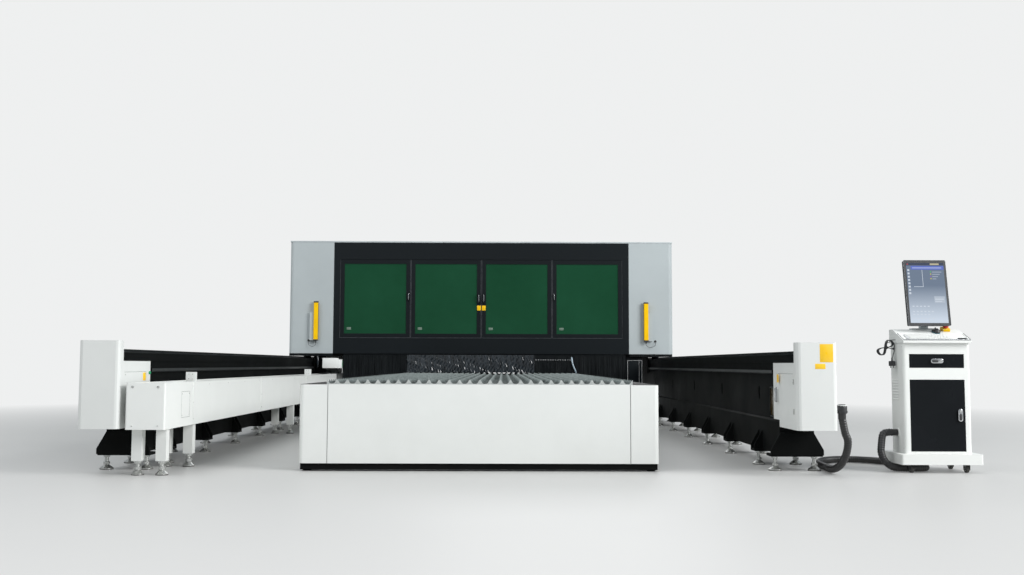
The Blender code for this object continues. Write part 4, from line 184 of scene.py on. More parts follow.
class Groups:
    """Shader node groups that several finishes share, each built once."""

    @staticmethod
    @cache
    def coat() -> bpy.types.NodeTree:
        """Cloudy colour, uneven gloss and fine skin of a paint or plastic.

        Returns:
            The group.
        """
        web, given, out = new_group("Coat variation", {"Vector": (VECTOR, None),
                "Colour": (COLOUR, (0.5, 0.5, 0.5, 1)), "Shade": (COLOUR, (0.4, 0.4, 0.4, 1)),
                "Cloud scale": (FLOAT, 2.0), "Skin scale": (FLOAT, 300.0),
                "Gloss low": (FLOAT, 0.3), "Gloss high": (FLOAT, 0.5)}, LOOK)
        cloud = web.add("TexNoise", {"Detail": 5, "Roughness": 0.62})
        skin = web.add("TexNoise", {"Detail": 2})
        mix = web.add("Mix", data_type="RGBA")
        spread = web.add("MapRange", {"From Min": 0.35, "From Max": 0.68})
        rough = web.add("MapRange")
        web.join((given, "Vector", cloud, "Vector"), (given, "Vector", skin, "Vector"),
                 (given, "Cloud scale", cloud, "Scale"), (given, "Skin scale", skin, "Scale"),
                 (cloud, "Fac", spread, "Value"), (spread, "Result", mix, "Factor"),
                 (given, "Colour", mix, "A"), (given, "Shade", mix, "B"),
                 (spread, "Result", rough, "Value"), (given, "Gloss low", rough, "To Min"),
                 (given, "Gloss high", rough, "To Max"), (mix, "Result", out, "Colour"),
                 (rough, "Result", out, "Roughness"), (skin, "Fac", out, "Height"))
        return web.tree

    @staticmethod
    def masked(web: Web, given: bpy.types.Node, out: bpy.types.Node, limit: bpy.types.Node,
               noise: bpy.types.Node) -> bpy.types.NodeTree:
        """Ends a mask: a limit, broken up by noise, times the amount.

        Args:
            web: Web of the group.
            given: Its input node.
            out: Its output node.
            limit: Node whose result bounds the mask.
            noise: Node that breaks it up.

        Returns:
            The group.
        """
        times = web.add("Math", operation="MULTIPLY")
        again = web.add("Math", operation="MULTIPLY")
        web.join((given, "Vector", noise, "Vector"), (limit, "Result", times, 0),
                 (noise, "Fac", times, 1), (times, "Value", again, 0), (given, "Amount", again, 1),
                 (again, "Value", out, "Mask"))
        return web.tree

    @staticmethod
    @cache
    def edge() -> bpy.types.NodeTree:
        """Mask of the outer edges of a piece, which the finishes tint lighter: partly worn paint,
        partly a painted edge highlight.

        Returns:
            The group.
        """
        web, given, out = new_group("Edge wear", {"Vector": (VECTOR, None), "Amount": (FLOAT, 0.5)},
                {"Mask": FLOAT})
        bevel = web.add("Bevel", {"Radius": 0.004}, samples=4)
        plain = web.add("NewGeometry")
        dot = web.add("VectorMath", operation="DOT_PRODUCT")
        noise = web.add("TexNoise", {"Scale": 14.0})
        ramp = web.add("MapRange", {"From Min": 0.995, "From Max": 0.8})
        web.join((bevel, "Normal", dot, 0), (plain, "Normal", dot, 1),
                 (dot, "Value", ramp, "Value"))
        return Groups.masked(web, given, out, ramp, noise)

    @staticmethod
    @cache
    def dust_and_shade() -> bpy.types.NodeTree:
        """Mask that thickens below a given height, broken up by noise: dusty workshop grime towards
        the floor, and on the slats burnt soot with painted shade in their valleys.

        Returns:
            The group.
        """
        web, given, out = new_group("Floor dust", {"Vector": (VECTOR, None), "Start": (FLOAT, 0.0),
                "Reach": (FLOAT, 0.4), "Amount": (FLOAT, 0.3)}, {"Mask": FLOAT})
        split = web.add("SeparateXYZ")
        fall = web.add("MapRange", {"To Min": 1.0, "To Max": 0.12})
        noise = web.add("TexNoise", {"Scale": 5.0, "Detail": 6})
        web.join((given, "Vector", split, "Vector"), (split, "Z", fall, "Value"),
                 (given, "Start", fall, "From Min"), (given, "Reach", fall, "From Max"))
        return Groups.masked(web, given, out, fall, noise)

    @staticmethod
    @cache
    def spangle() -> bpy.types.NodeTree:
        """Crystal pattern of hot-dip zinc.

        Returns:
            The group.
        """
        web, given, out = new_group("Zinc spangle", {"Vector": (VECTOR, None),
                "Scale": (FLOAT, 90.0), "Colour": (COLOUR, (0.5, 0.52, 0.52, 1)),
                "Shade": (COLOUR, (0.3, 0.33, 0.33, 1))}, LOOK)
        cells = web.add("TexVoronoi")
        split = web.add("SeparateColor")
        mix = web.add("Mix", data_type="RGBA")
        rough = web.add("MapRange", {"To Min": 0.34, "To Max": 0.55})
        web.join((given, "Vector", cells, "Vector"), (given, "Scale", cells, "Scale"),
                 (cells, "Color", split, "Color"), (split, "Red", mix, "Factor"),
                 (given, "Colour", mix, "A"), (given, "Shade", mix, "B"),
                 (split, "Green", rough, "Value"), (mix, "Result", out, "Colour"),
                 (rough, "Result", out, "Roughness"), (cells, "Distance", out, "Height"))
        return web.tree


def new_material(name: str) -> tuple:
    """Makes a material with nodes.

    Args:
        name: Its name.

    Returns:
        The material, its web and its shader node.
    """
    made = bpy.data.materials.new(name)
    made.use_nodes = True
    return made, Web(made.node_tree), made.node_tree.nodes["Principled BSDF"]


# ------------------------------------------------------------------- finishes
class Pattern(Enum):
    """What gives a finish its colour and gloss."""

    COAT = "coat"
    ZINC = "zinc"


@dataclass(frozen=True)
class Finish:
    """One finish of the machine, as a procedural material."""

    name: str
    colour: Colour
    shade: Colour
    slot: Slot
    gloss: Flat = (0.32, 0.48)
    metallic: float = 0.0
    specular: float = 0.5
    pattern: Pattern = Pattern.COAT
    stretch: Point = (1.0, 1.0, 1.0)
    cloud: float = 1.6
    skin: float = 260.0
    bump: float = 0.04
    # Edge tint: partly worn paint, partly a painted edge highlight, as every tint is lighter than
    # its finish's colour.
    wear_and_highlight: float = 0.0
    wear_and_highlight_colour: Colour = (0.35, 0.35, 0.35)
    # Low-height tint: dusty grime towards the floor; on the slats, burnt soot with painted shade
    # below the tips.
    dust_and_shade: float = 0.0
    dust_and_shade_start: float = 0.0
    dust_and_shade_reach: float = 0.5
    dust_and_shade_colour: Colour = (0.42, 0.4, 0.36)
    coat: float = 0.0
    transmission: float = 0.0

    def material(self) -> bpy.types.Material:
        """Makes the Blender material the first time it is asked for.

        Returns:
            The material.
        """
        made = bpy.data.materials.get(self.name)
        if made is not None:
            return made
        made, web, shader = new_material(self.name)
        place = web.add("TexCoord").outputs["Object"]
        colours = {"Colour": (*self.colour, 1), "Shade": (*self.shade, 1)}
        if self.pattern is Pattern.COAT:
            body = web.add("Group", {"Cloud scale": self.cloud, "Skin scale": self.skin,
                                     "Gloss low": self.gloss[0], "Gloss high": self.gloss[1],
                                     **colours}, node_tree=Groups.coat())
        else:
            body = web.add("Group", {"Scale": self.skin, **colours}, node_tree=Groups.spangle())
        where = place
        if self.stretch != (1.0, 1.0, 1.0):
            mapping = web.add("Mapping", {"Scale": self.stretch})
            web.link(where, mapping.inputs["Vector"])
            where = mapping.outputs["Vector"]
        web.link(where, body.inputs["Vector"])
        colour = body.outputs["Colour"]
        # The edge tint is partly worn paint and partly a painted edge highlight.
        for amount, tint, maker in ((self.wear_and_highlight, self.wear_and_highlight_colour, Groups.edge),
                                    (self.dust_and_shade, self.dust_and_shade_colour, Groups.dust_and_shade)):
            if amount <= 0:
                continue
            mask = web.add("Group", {"Amount": amount}, node_tree=maker())
            # The low-height mask: dusty grime near the floor, and on the slats burnt soot with
            # painted shade in the valleys.
            if "Reach" in mask.inputs:
                fill(mask, {"Start": self.dust_and_shade_start, "Reach": self.dust_and_shade_reach})
            mix = web.add("Mix", {"B": (*tint, 1)}, data_type="RGBA")
            web.link(place, mask.inputs["Vector"])
            web.link(mask.outputs["Mask"], mix.inputs["Factor"])
            web.link(colour, mix.inputs["A"])
            colour = mix.outputs["Result"]
        bump = web.add("Bump", {"Strength": self.bump, "Distance": 0.001})
        web.join((body, "Height", bump, "Height"), (body, "Roughness", shader, "Roughness"))
        web.link(bump.outputs["Normal"], shader.inputs["Normal"])
        web.link(colour, shader.inputs["Base Color"])
        fill(shader, {"Metallic": self.metallic, "Specular IOR Level": self.specular,
                      "Coat Weight": self.coat, "Transmission Weight": self.transmission})
        return made


@dataclass(frozen=True)
class ScreenFinish:
    """Lit display that shows plain fields of colour."""

    name: str
    slot: Slot
    low: Flat = (3.4, 1.16)
    size: Flat = (0.3, 0.484)

    def material(self) -> bpy.types.Material:
        """Makes the material: window frames, a tool column and a pale work area.

        Returns:
            The material.
        """
        made = bpy.data.materials.get(self.name)
        if made is not None:
            return made
        made, web, shader = new_material(self.name)
        split = web.add("SeparateXYZ")
        web.join((web.add("TexCoord"), "Object", split, "Vector"))

        def share(axis: str, low: float, length: float) -> bpy.types.NodeSocket:
            """Position across the display, from 0 to 1.

            Args:
                axis: Axis of the position.
                low: Place of the display's edge.
                length: Its length along the axis.

            Returns:
                Socket with the position.
            """
            step = web.add("MapRange", {"From Min": low, "From Max": low + length})
            web.join((split, axis, step, "Value"))
            return step.outputs["Result"]

        across = share("X", self.low[0], self.size[0])
        upward = share("Z", self.low[1], self.size[1])

        def within(value: bpy.types.NodeSocket, low: float, high: float) -> bpy.types.NodeSocket:
            """Test of a position.

            Args:
                value: Socket with the position.
                low: Lower limit.
                high: Upper limit.

            Returns:
                Socket that is 1 between the limits and 0 past them.
            """
            test = web.add("Math", {1: (low + high) / 2, 2: (high - low) / 2}, operation="COMPARE")
            web.link(value, test.inputs[0])
            return test.outputs["Value"]

        def patch(under: bpy.types.NodeSocket, box: tuple, tint: Colour) -> bpy.types.NodeSocket:
            """Lays one field of colour over what is under it.

            Args:
                under: Socket with the colour under it.
                box: Left, lower, right and upper edge as shares of the display.
                tint: Its colour.

            Returns:
                Socket with the result.
            """
            both = web.add("Math", operation="MULTIPLY")
            web.link(within(across, box[0], box[2]), both.inputs[0])
            web.link(within(upward, box[1], box[3]), both.inputs[1])
            mix = web.add("Mix", {"B": (*tint, 1)}, data_type="RGBA")
            web.join((both, "Value", mix, "Factor"))
            web.link(under, mix.inputs["A"])
            return mix.outputs["Result"]

        fade = web.add("Mix", {"A": (0.62, 0.7, 0.8, 1), "B": (0.15, 0.195, 0.27, 1)},
                       data_type="RGBA")
        lift = web.add("MapRange", {"From Min": 0.05, "From Max": 0.62})
        web.link(upward, lift.inputs["Value"])
        web.join((lift, "Result", fade, "Factor"))
        colour = fade.outputs["Result"]
        pale, blue = (0.62, 0.68, 0.76), (0.11, 0.16, 0.52)
        fields = [((0.0, 0.955, 1.0, 1.0), (0.045, 0.055, 0.09)),
                  ((0.64, 0.965, 0.88, 0.99), (0.55, 0.5, 0.32)),
                  ((0.02, 0.97, 0.06, 0.985), (0.55, 0.08, 0.06)), ((0.12, 0.885, 1.0, 0.95), blue),
                  ((0.16, 0.905, 0.94, 0.925), (0.34, 0.4, 0.72))]
        fields += [((0.025, 0.86 - 0.055 * k, 0.08, 0.892 - 0.055 * k), pale) for k in range(8)]
        fields += [((0.41, 0.6, 0.422, 0.88), pale), ((0.17, 0.596, 0.422, 0.604), pale)]
        for k, dot in enumerate(((0.1, 0.5, 0.16), (0.6, 0.5, 0.08), (0.32, 0.1, 0.5),
                                 (0.62, 0.52, 0.1))):
            fields += [((0.625, 0.84 - 0.038 * k, 0.655, 0.858 - 0.038 * k), dot),
                       ((0.68, 0.838 - 0.038 * k, 0.93 - 0.05 * k, 0.852 - 0.038 * k),
                        (0.36, 0.41, 0.5))]
        fields += [((0.68, 0.33, 0.96, 0.44), (0.46, 0.52, 0.6)), ((0.7, 0.385, 0.93, 0.4), pale),
                   ((0.7, 0.35, 0.88, 0.362), pale)]
        for row, low in enumerate((0.265, 0.18, 0.13, 0.065)):
            fields += [((0.08 + 0.1 * k, low, 0.135 + 0.1 * k, low + 0.018),
                        pale) for k in range(5 + row % 2)]
        for box, tint in fields:
            colour = patch(colour, box, tint)
        web.link(colour, shader.inputs["Emission Color"])
        fill(shader, {"Emission Strength": 0.95, "Base Color": (0.012, 0.014, 0.018, 1),
                      "Roughness": 0.12, "Specular IOR Level": 0.35})
        return made


WHITE = Finish("White powder coat", (0.76, 0.775, 0.755), (0.705, 0.72, 0.7), Slot.WHITE,
               gloss=(0.3, 0.46), wear_and_highlight=0.22, wear_and_highlight_colour=(0.86, 0.87, 0.86), dust_and_shade=0.16, cloud=0.9,
               bump=0.05)
COVER = Finish("White cover coat", (0.675, 0.69, 0.675), (0.63, 0.645, 0.63), Slot.WHITE,
               gloss=(0.3, 0.46), wear_and_highlight=0.22, wear_and_highlight_colour=(0.84, 0.85, 0.84), dust_and_shade=0.12, cloud=0.9,
               bump=0.05)
GREY = Finish("Tower grey powder coat", (0.385, 0.425, 0.435), (0.345, 0.38, 0.39), Slot.GREY,
              gloss=(0.52, 0.66), specular=0.28, wear_and_highlight=0.3, wear_and_highlight_colour=(0.72, 0.75, 0.75),
              cloud=0.7, bump=0.05)
BLACK = Finish("Beam black enamel", (0.004, 0.0048, 0.0052), (0.007, 0.0076, 0.0074), Slot.BLACK,
               gloss=(0.42, 0.6), specular=0.012, wear_and_highlight=0.25, wear_and_highlight_colour=(0.05, 0.05, 0.05),
               dust_and_shade=0.1, dust_and_shade_reach=0.45, dust_and_shade_colour=(0.05, 0.045, 0.04), cloud=1.1, skin=160,
               bump=0.05)
FRAME_BLACK = Finish("Front black powder coat", (0.0075, 0.01, 0.0118), (0.006, 0.0082, 0.0098),
                     Slot.FRAME, gloss=(0.38, 0.5), specular=0.11, wear_and_highlight=0.5,
                     wear_and_highlight_colour=(0.06, 0.065, 0.07), cloud=0.8, skin=420, bump=0.1)
# Its low-height tint, dark from near the valley floor (0.674) up to just under the tips (0.699), is
# partly burnt soot and partly painted shade in the valleys and between the rows.
ZINC = Finish("Galvanised slat", (0.47, 0.53, 0.52), (0.31, 0.36, 0.35), Slot.ZINC, metallic=0.55,
              pattern=Pattern.ZINC, skin=70.0, bump=0.05, wear_and_highlight=0.8, wear_and_highlight_colour=(0.62, 0.66, 0.65),
              dust_and_shade=1.5, dust_and_shade_start=0.674, dust_and_shade_reach=0.699, dust_and_shade_colour=(0.05, 0.06, 0.058))
# Lighter copy of the slat finish for the foremost slat alone: painted light, as that row is lit
# while the rows behind lie in its shade.
FRONT_LIT_ZINC = Finish("Front slat painted lit", (0.66, 0.68, 0.66), (0.52, 0.55, 0.54), Slot.ZINC, metallic=0.3,
                  pattern=Pattern.ZINC, skin=90.0, bump=0.03, wear_and_highlight=0.3, wear_and_highlight_colour=(0.8, 0.8, 0.8))
RAIL = Finish("Guide rail", (0.05, 0.055, 0.058), (0.09, 0.095, 0.098), Slot.STEEL,
              metallic=0.8, gloss=(0.3, 0.42), cloud=3.0, skin=500, bump=0.03)
BRIGHT = Finish("Bright zinc plate", (0.6, 0.61, 0.59), (0.42, 0.43, 0.42), Slot.STEEL,
                metallic=0.85, gloss=(0.2, 0.38), cloud=14.0, bump=0.06, wear_and_highlight=0.4,
                wear_and_highlight_colour=(0.8, 0.8, 0.8), dust_and_shade=0.25, dust_and_shade_reach=0.12)
STEEL = Finish("Ground steel", (0.56, 0.57, 0.58), (0.42, 0.43, 0.44), Slot.STEEL,
               metallic=1.0, gloss=(0.18, 0.34), cloud=9.0, skin=500, bump=0.05)
COPPER = Finish("Nozzle copper", (0.6, 0.3, 0.16), (0.45, 0.2, 0.1), Slot.STEEL,
                metallic=1.0, gloss=(0.2, 0.34), cloud=30.0, bump=0.03)
PANE = Finish("Green safety acrylic", (0.0045, 0.046, 0.0185), (0.0085, 0.064, 0.029), Slot.PANE,
              gloss=(0.05, 0.1), specular=0.1, transmission=0.1, cloud=0.6, skin=4.0, bump=0.01)
YELLOW = Finish("Signal yellow", (0.86, 0.52, 0.003), (0.78, 0.46, 0.003), Slot.YELLOW,
                gloss=(0.3, 0.42), specular=0.12, wear_and_highlight=0.25, wear_and_highlight_colour=(0.9, 0.7, 0.3), cloud=8.0)
RED = Finish("Signal red", (0.55, 0.012, 0.01), (0.44, 0.01, 0.01), Slot.RED, gloss=(0.22, 0.34),
             cloud=30.0)
PLASTIC = Finish("Black moulded plastic", (0.02, 0.021, 0.023), (0.03, 0.031, 0.033), Slot.PLASTIC,
                 gloss=(0.36, 0.52), cloud=12.0, skin=900, bump=0.16)
CURTAIN = Finish("Curtain black", (0.0022, 0.003, 0.0036), (0.015, 0.0185, 0.0205), Slot.CURTAIN,
                 gloss=(0.3, 0.55), specular=0.14, stretch=(1.0, 1.0, 0.03), cloud=70.0, skin=300,
                 bump=0.12)
# Its lighter streaks, stretched upright, are painted sheen along the film's creases.
FILM = Finish("Creased black film", (0.004, 0.0054, 0.007), (0.026, 0.033, 0.04), Slot.CURTAIN,
              gloss=(0.1, 0.22), specular=0.6, coat=0.2, stretch=(1.0, 1.0, 0.25), cloud=28.0,
              skin=90, bump=0.12)
PALE = Finish("Pale moulded plastic", (0.66, 0.67, 0.67), (0.58, 0.59, 0.6), Slot.PALE,
              gloss=(0.34, 0.46), cloud=16.0, skin=900, bump=0.1)
RUBBER = Finish("Black rubber", (0.014, 0.014, 0.014), (0.028, 0.027, 0.026), Slot.RUBBER,
                gloss=(0.55, 0.75), specular=0.35, cloud=9.0, skin=400, bump=0.14, dust_and_shade=0.25,
                dust_and_shade_reach=0.1)
HOSE = Finish("Corrugated hose plastic", (0.012, 0.012, 0.013), (0.02, 0.02, 0.021), Slot.RUBBER,
              gloss=(0.3, 0.45), cloud=10.0, skin=500, bump=0.06, dust_and_shade=0.12, dust_and_shade_reach=0.06)
AMBER = Finish("Amber cover sheet", (0.055, 0.036, 0.008), (0.03, 0.02, 0.006), Slot.BLACK,
               gloss=(0.18, 0.3), cloud=5.0, skin=60, bump=0.02)
DRAWER = Finish("Console black enamel", (0.0065, 0.0078, 0.0092), (0.0085, 0.01, 0.0118),
                Slot.FRAME, gloss=(0.22, 0.34), specular=0.09, wear_and_highlight=0.2,
                wear_and_highlight_colour=(0.08, 0.08, 0.08), cloud=1.2, skin=500, bump=0.0)
SEAM = Finish("Panel gap", (0.018, 0.018, 0.018), (0.03, 0.03, 0.03), Slot.PLASTIC,
              gloss=(0.7, 0.9), cloud=9.0)
BEZEL = Finish("Monitor edge", (0.075, 0.08, 0.09), (0.12, 0.125, 0.135), Slot.PLASTIC,
               metallic=0.4, gloss=(0.25, 0.38), cloud=14.0, skin=600, bump=0.04)
TEAL = Finish("Teal plastic", (0.01, 0.13, 0.18), (0.014, 0.16, 0.21), Slot.PLASTIC,
              gloss=(0.2, 0.3), cloud=30.0)
GREEN = Finish("Green plastic", (0.012, 0.3, 0.12), (0.01, 0.24, 0.1), Slot.PLASTIC,
               gloss=(0.2, 0.3), cloud=30.0)
AIR_HOSE = Finish("Pale air hose", (0.25, 0.33, 0.39), (0.4, 0.48, 0.53), Slot.PALE,
                  gloss=(0.16, 0.28), cloud=18.0, skin=500, bump=0.03)
PANE_FIELD = Finish("Pane field", (0.11, 0.16, 0.125), (0.14, 0.19, 0.155), Slot.PALE,
                    gloss=(0.4, 0.5), cloud=20.0)
FACE = Finish("Label field", (0.7, 0.71, 0.69), (0.62, 0.63, 0.61), Slot.PALE, gloss=(0.4, 0.5),
              cloud=20.0)
SCREEN = ScreenFinish("Display", Slot.PLASTIC)

SLOT_FINISH: dict[str, Finish] = {finish.slot.value: finish for finish in (WHITE, GREY, BLACK,
        FRAME_BLACK, ZINC, STEEL, PANE, YELLOW, RED, PLASTIC, CURTAIN, PALE, RUBBER)}
NODE_FINISH: dict[str, Finish] = {**dict.fromkeys(("console_door", "console_drawer"), DRAWER),
        **dict.fromkeys(("guide_rail_left", "guide_rail_right"), RAIL),
        **dict.fromkeys(("end_cover_left", "end_cover_right", "side_door_right", "side_panel_left"),
                        COVER)}


def placed(name: str, data: bpy.types.ID) -> bpy.types.Object:
    """Makes an object and links it to the scene.

    Args:
        name: Its name.
        data: Its mesh, curve, camera or light.

    Returns:
        The object.
    """
    made = bpy.data.objects.new(name, data)
    bpy.context.scene.collection.objects.link(made)
    return made


def carried(made: bpy.types.Object, body: Rides | str, finish: "Finish | ScreenFinish") -> None:
    """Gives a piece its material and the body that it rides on.

    Args:
        made: The piece.
        body: Body of the frame.
        finish: Finish of the piece.
    """
    made.data.materials.append(finish.material())
    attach(made, body.value if isinstance(body, Rides) else body)


def tube(name: str, line: list[Point], radius: float, sides: int) -> bpy.types.Object:
    """Makes a round bar along a line of points, with closed ends.

    Args:
        name: Name of the object.
        line: Points of its middle.
        radius: Its radius.
        sides: Its bevel resolution.

    Returns:
        The curve object.
    """
    curve = bpy.data.curves.new(name, "CURVE")
    curve.dimensions = "3D"
    spline = curve.splines.new("POLY")
    spline.points.add(len(line) - 1)
    for point, place in zip(spline.points, line):
        point.co = (*place, 1.0)
    curve.bevel_depth = radius
    curve.bevel_resolution = sides
    curve.use_fill_caps = True
    return placed(name, curve)


# --------------------------------------------------------------------- shapes
class Shape:
    """One piece's mesh while bmesh operators model it, drawn in an optional tilted space."""

    def __init__(self, space: Matrix | None = None) -> None:
        """Starts an empty mesh in the given space."""
        self.mesh = bmesh.new()
        self.space = space or Matrix.Identity(4)

    def take(self, part: bmesh.types.BMesh) -> "Shape":
        """Moves a finished part into the piece.

        Args:
            part: The part in the drawing space; it is freed here.

        Returns:
            The shape itself.
        """
        part.transform(self.space)
        bmesh.ops.recalc_face_normals(part, faces=part.faces)
        scratch = bpy.data.meshes.new("scratch")
        part.to_mesh(scratch)
        part.free()
        self.mesh.from_mesh(scratch)
        bpy.data.meshes.remove(scratch)
        return self

    def box(self, low: Point, high: Point, bevel: float = 0.0, segments: int = 2) -> "Shape":
        """Adds a block with softened edges.

        Args:
            low: One corner.
            high: The corner across from it.
            bevel: Width of the rounding.
            segments: Faces across the rounding.

        Returns:
            The shape itself.
        """
        part = bmesh.new()
        low, high = [min(pair) for pair in zip(low, high)], [max(pair) for pair in zip(low, high)]
        size = [h - l for l, h in zip(low, high)]
        middle = [(h + l) / 2 for l, h in zip(low, high)]
        bmesh.ops.create_cube(part, size=1.0, matrix=Matrix.Translation(middle)
                              @ Matrix.Diagonal((*size, 1.0)))
        if bevel > 0:
            bmesh.ops.bevel(part, geom=part.edges[:], offset=min(bevel, min(size) * 0.45),
                            affect="EDGES", segments=segments, profile=0.5, material=-1)
        return self.take(part)

    def tilted(self, space: Matrix, low: Point, high: Point, bevel: float) -> "Shape":
        """Adds a block drawn in a space of its own.

        Args:
            space: That space, within the one that the shape is drawn in.
            low: One corner.
            high: The corner across from it.
            bevel: Width of the rounding.

        Returns:
            The shape itself.
        """
        keep, self.space = self.space, self.space @ space
        self.box(low, high, bevel)
        self.space = keep
        return self

    def slab(self, outline: list[Flat], along: Along, low: float, high: float,
             bevel: float = 0.0) -> "Shape":
        """Adds a flat outline drawn across one axis and extruded along it.

        Args:
            outline: Corners in the two other axes, in their X, Y, Z order.
            along: Axis of the extrusion.
            low: Start of the extrusion.
            high: End of the extrusion.
            bevel: Rounding of the edges at both ends.

        Returns:
            The shape itself.
        """
        part = bmesh.new()
        index = along.value
        corners = []
        for a, b in outline:
            point = [a, b]
            point.insert(index, low)
            corners.append(part.verts.new(point))
        face = part.faces.new(corners)
        grown = bmesh.ops.extrude_face_region(part, geom=[face])
        step = Vector([high - low if i == index else 0.0 for i in range(3)])
        moved = [v for v in grown["geom"] if isinstance(v, bmesh.types.BMVert)]
        bmesh.ops.translate(part, verts=moved, vec=step)
        if bevel > 0:
            rim = [e for e in part.edges
                   if abs(e.verts[0].co[index] - e.verts[1].co[index]) < LEVEL_LIMIT]
            bmesh.ops.bevel(part, geom=rim, offset=bevel, affect="EDGES", segments=2, profile=0.5,
                            material=-1)
        return self.take(part)

    def turned(self, profile: list[Flat], centre: Point, along: Along = Along.Z, steps: int = 24,
               flip: bool = False) -> "Shape":
        """Adds a body spun from (radius, height) points, its two ends closed onto the axis.

        Args:
            profile: Radius and height of each point.
            centre: Point of the axis that heights are counted from.
            along: Axis of the spin.
            steps: Faces round the body.
            flip: Counts heights against the axis.

        Returns:
            The shape itself.
        """
        sign = -1.0 if flip else 1.0
        first = [] if profile[0][0] == 0 else [(0, profile[0][1])]
        last = [] if profile[-1][0] == 0 else [(0, profile[-1][1])]
        return self.spun([(r, h * sign) for r, h in first + profile + last], False, centre, along,
                         steps)

    def spun(self, profile: list[Flat], closed: bool, centre: Point, along: Along,
             steps: int) -> "Shape":
        """Spins a profile about the axis.

        Args:
            profile: Radius and height of each point.
            closed: Whether the last point joins the first.
            centre: Point of the axis that heights are counted from.
            along: Axis of the spin.
            steps: Faces round the body.

        Returns:
            The shape itself.
        """
        part = bmesh.new()
        chain = [part.verts.new((r, 0.0, h)) for r, h in profile]
        edges = [part.edges.new(pair) for pair in zip(chain,
                chain[1:] + (chain[:1] if closed else []))]
        bmesh.ops.spin(part, geom=chain + edges, cent=(0, 0, 0), axis=(0, 0, 1), dvec=(0, 0, 0),
                       angle=math.tau, steps=steps, use_merge=True, use_duplicate=False)
        bmesh.ops.remove_doubles(part, verts=part.verts, dist=MERGE_DISTANCE)
        part.transform(Matrix.Translation(centre) @ along.turn())
        return self.take(part)

    def ring(self, profile: list[Flat], centre: Point, along: Along = Along.Z,
             steps: int = 32) -> "Shape":
        """Adds a closed ring spun from a closed profile of (radius, height) points."""
        return self.spun(profile, True, centre, along, steps)

    def hexagon(self, centre: Point, across: float, height: float,
                along: Along = Along.Z) -> "Shape":
        """Adds a chamfered nut.

        Args:
            centre: Middle of its seat.
            across: Width across its corners.
            height: Its height.
            along: Its axis.

        Returns:
            The shape itself.
        """
        part = bmesh.new()
        bmesh.ops.create_cone(part, cap_ends=True, cap_tris=False, segments=6, radius1=across / 2,
                              radius2=across / 2, depth=height,
                              matrix=Matrix.Translation((0, 0, height / 2)))
        rims = [e for e in part.edges if abs(e.verts[0].co.z - e.verts[1].co.z) < LEVEL_LIMIT]
        bmesh.ops.bevel(part, geom=rims, offset=height * 0.1, affect="EDGES", segments=1,
                        profile=0.5, material=-1)
        part.transform(Matrix.Translation(centre) @ along.turn())
        return self.take(part)

    def rod(self, path: list[Point], radius: float, sides: int = 3) -> "Shape":
        """Adds a round bar with closed ends.

        Args:
            path: Points of its middle.
            radius: Its radius.
            sides: Its bevel resolution.

        Returns:
            The shape itself.
        """
        holder = tube("rod", path, radius, sides)
        curve = holder.data
        graph = bpy.context.evaluated_depsgraph_get()
        made = bpy.data.meshes.new_from_object(holder.evaluated_get(graph))
        part = bmesh.new()
        part.from_mesh(made)
        bmesh.ops.remove_doubles(part, verts=part.verts, dist=MERGE_DISTANCE)
        bpy.data.objects.remove(holder)
        bpy.data.curves.remove(curve)
        bpy.data.meshes.remove(made)
        return self.take(part)

    def screw(self, centre: Point, along: Along, radius: float = 0.007,
              flip: bool = False) -> "Shape":
        """Adds a button-head screw with a socket.

        Args:
            centre: Middle of its seat.
            along: Its axis.
            radius: Radius of its head.
            flip: Turns the head against the axis.

        Returns:
            The shape itself.
        """
        height = radius * 0.55
        profile = [(0.0, -0.0004), (radius, -0.0004), (radius * 0.96, height * 0.35),
                   (radius * 0.72, height * 0.85), (radius * 0.48, height),
                   (radius * 0.42, height * 0.45), (0.0, height * 0.4)]
        return self.turned(profile, centre, along, steps=12, flip=flip)

    def piece(self, name: str, body: Rides | str, finish: Finish | ScreenFinish,
              replaces: tuple[str, ...] = ()) -> bpy.types.Object:
        """Turns the mesh into a finished piece.

        Args:
            name: Name of the piece.
            body: Body that it rides on.
            finish: Its finish.
            replaces: Nodes that it stands for.

        Returns:
            The new object.
        """
        mesh = bpy.data.meshes.new(name)
        self.mesh.to_mesh(mesh)
        self.mesh.free()
        for polygon in mesh.polygons:
            polygon.use_smooth = True
        mesh.set_sharp_from_angle(angle=SMOOTH_ANGLE)
        made = placed(name, mesh)
        carried(made, body, finish)
        if replaces:
            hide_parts(*replaces)
        log.info("piece %s: %d faces", name, len(mesh.polygons))
        return made


def steps_of(start: float, pitch: float, count: int) -> list[float]:
    """Evenly spaced places, the first at start."""
    return [start + pitch * index for index in range(count)]


def rounded(low: Flat, high: Flat, radius: float, parts: int = 4) -> list[Flat]:
    """Outline of a rectangle with rounded corners.

    Args:
        low: Lowest corner.
        high: Highest corner.
        radius: Radius of the corners.
        parts: Edges along each corner.

    Returns:
        Corners of the outline.
    """
    points = []
    for cx, cy, start in (
        (high[0] - radius, high[1] - radius, 0.0),
        (low[0] + radius, high[1] - radius, 0.5),
        (low[0] + radius, low[1] + radius, 1.0),
        (high[0] - radius, low[1] + radius, 1.5),
    ):
        for step in range(parts + 1):
            angle = (start + 0.5 * step / parts) * math.pi
            points.append((cx + radius * math.cos(angle), cy + radius * math.sin(angle)))
    return points


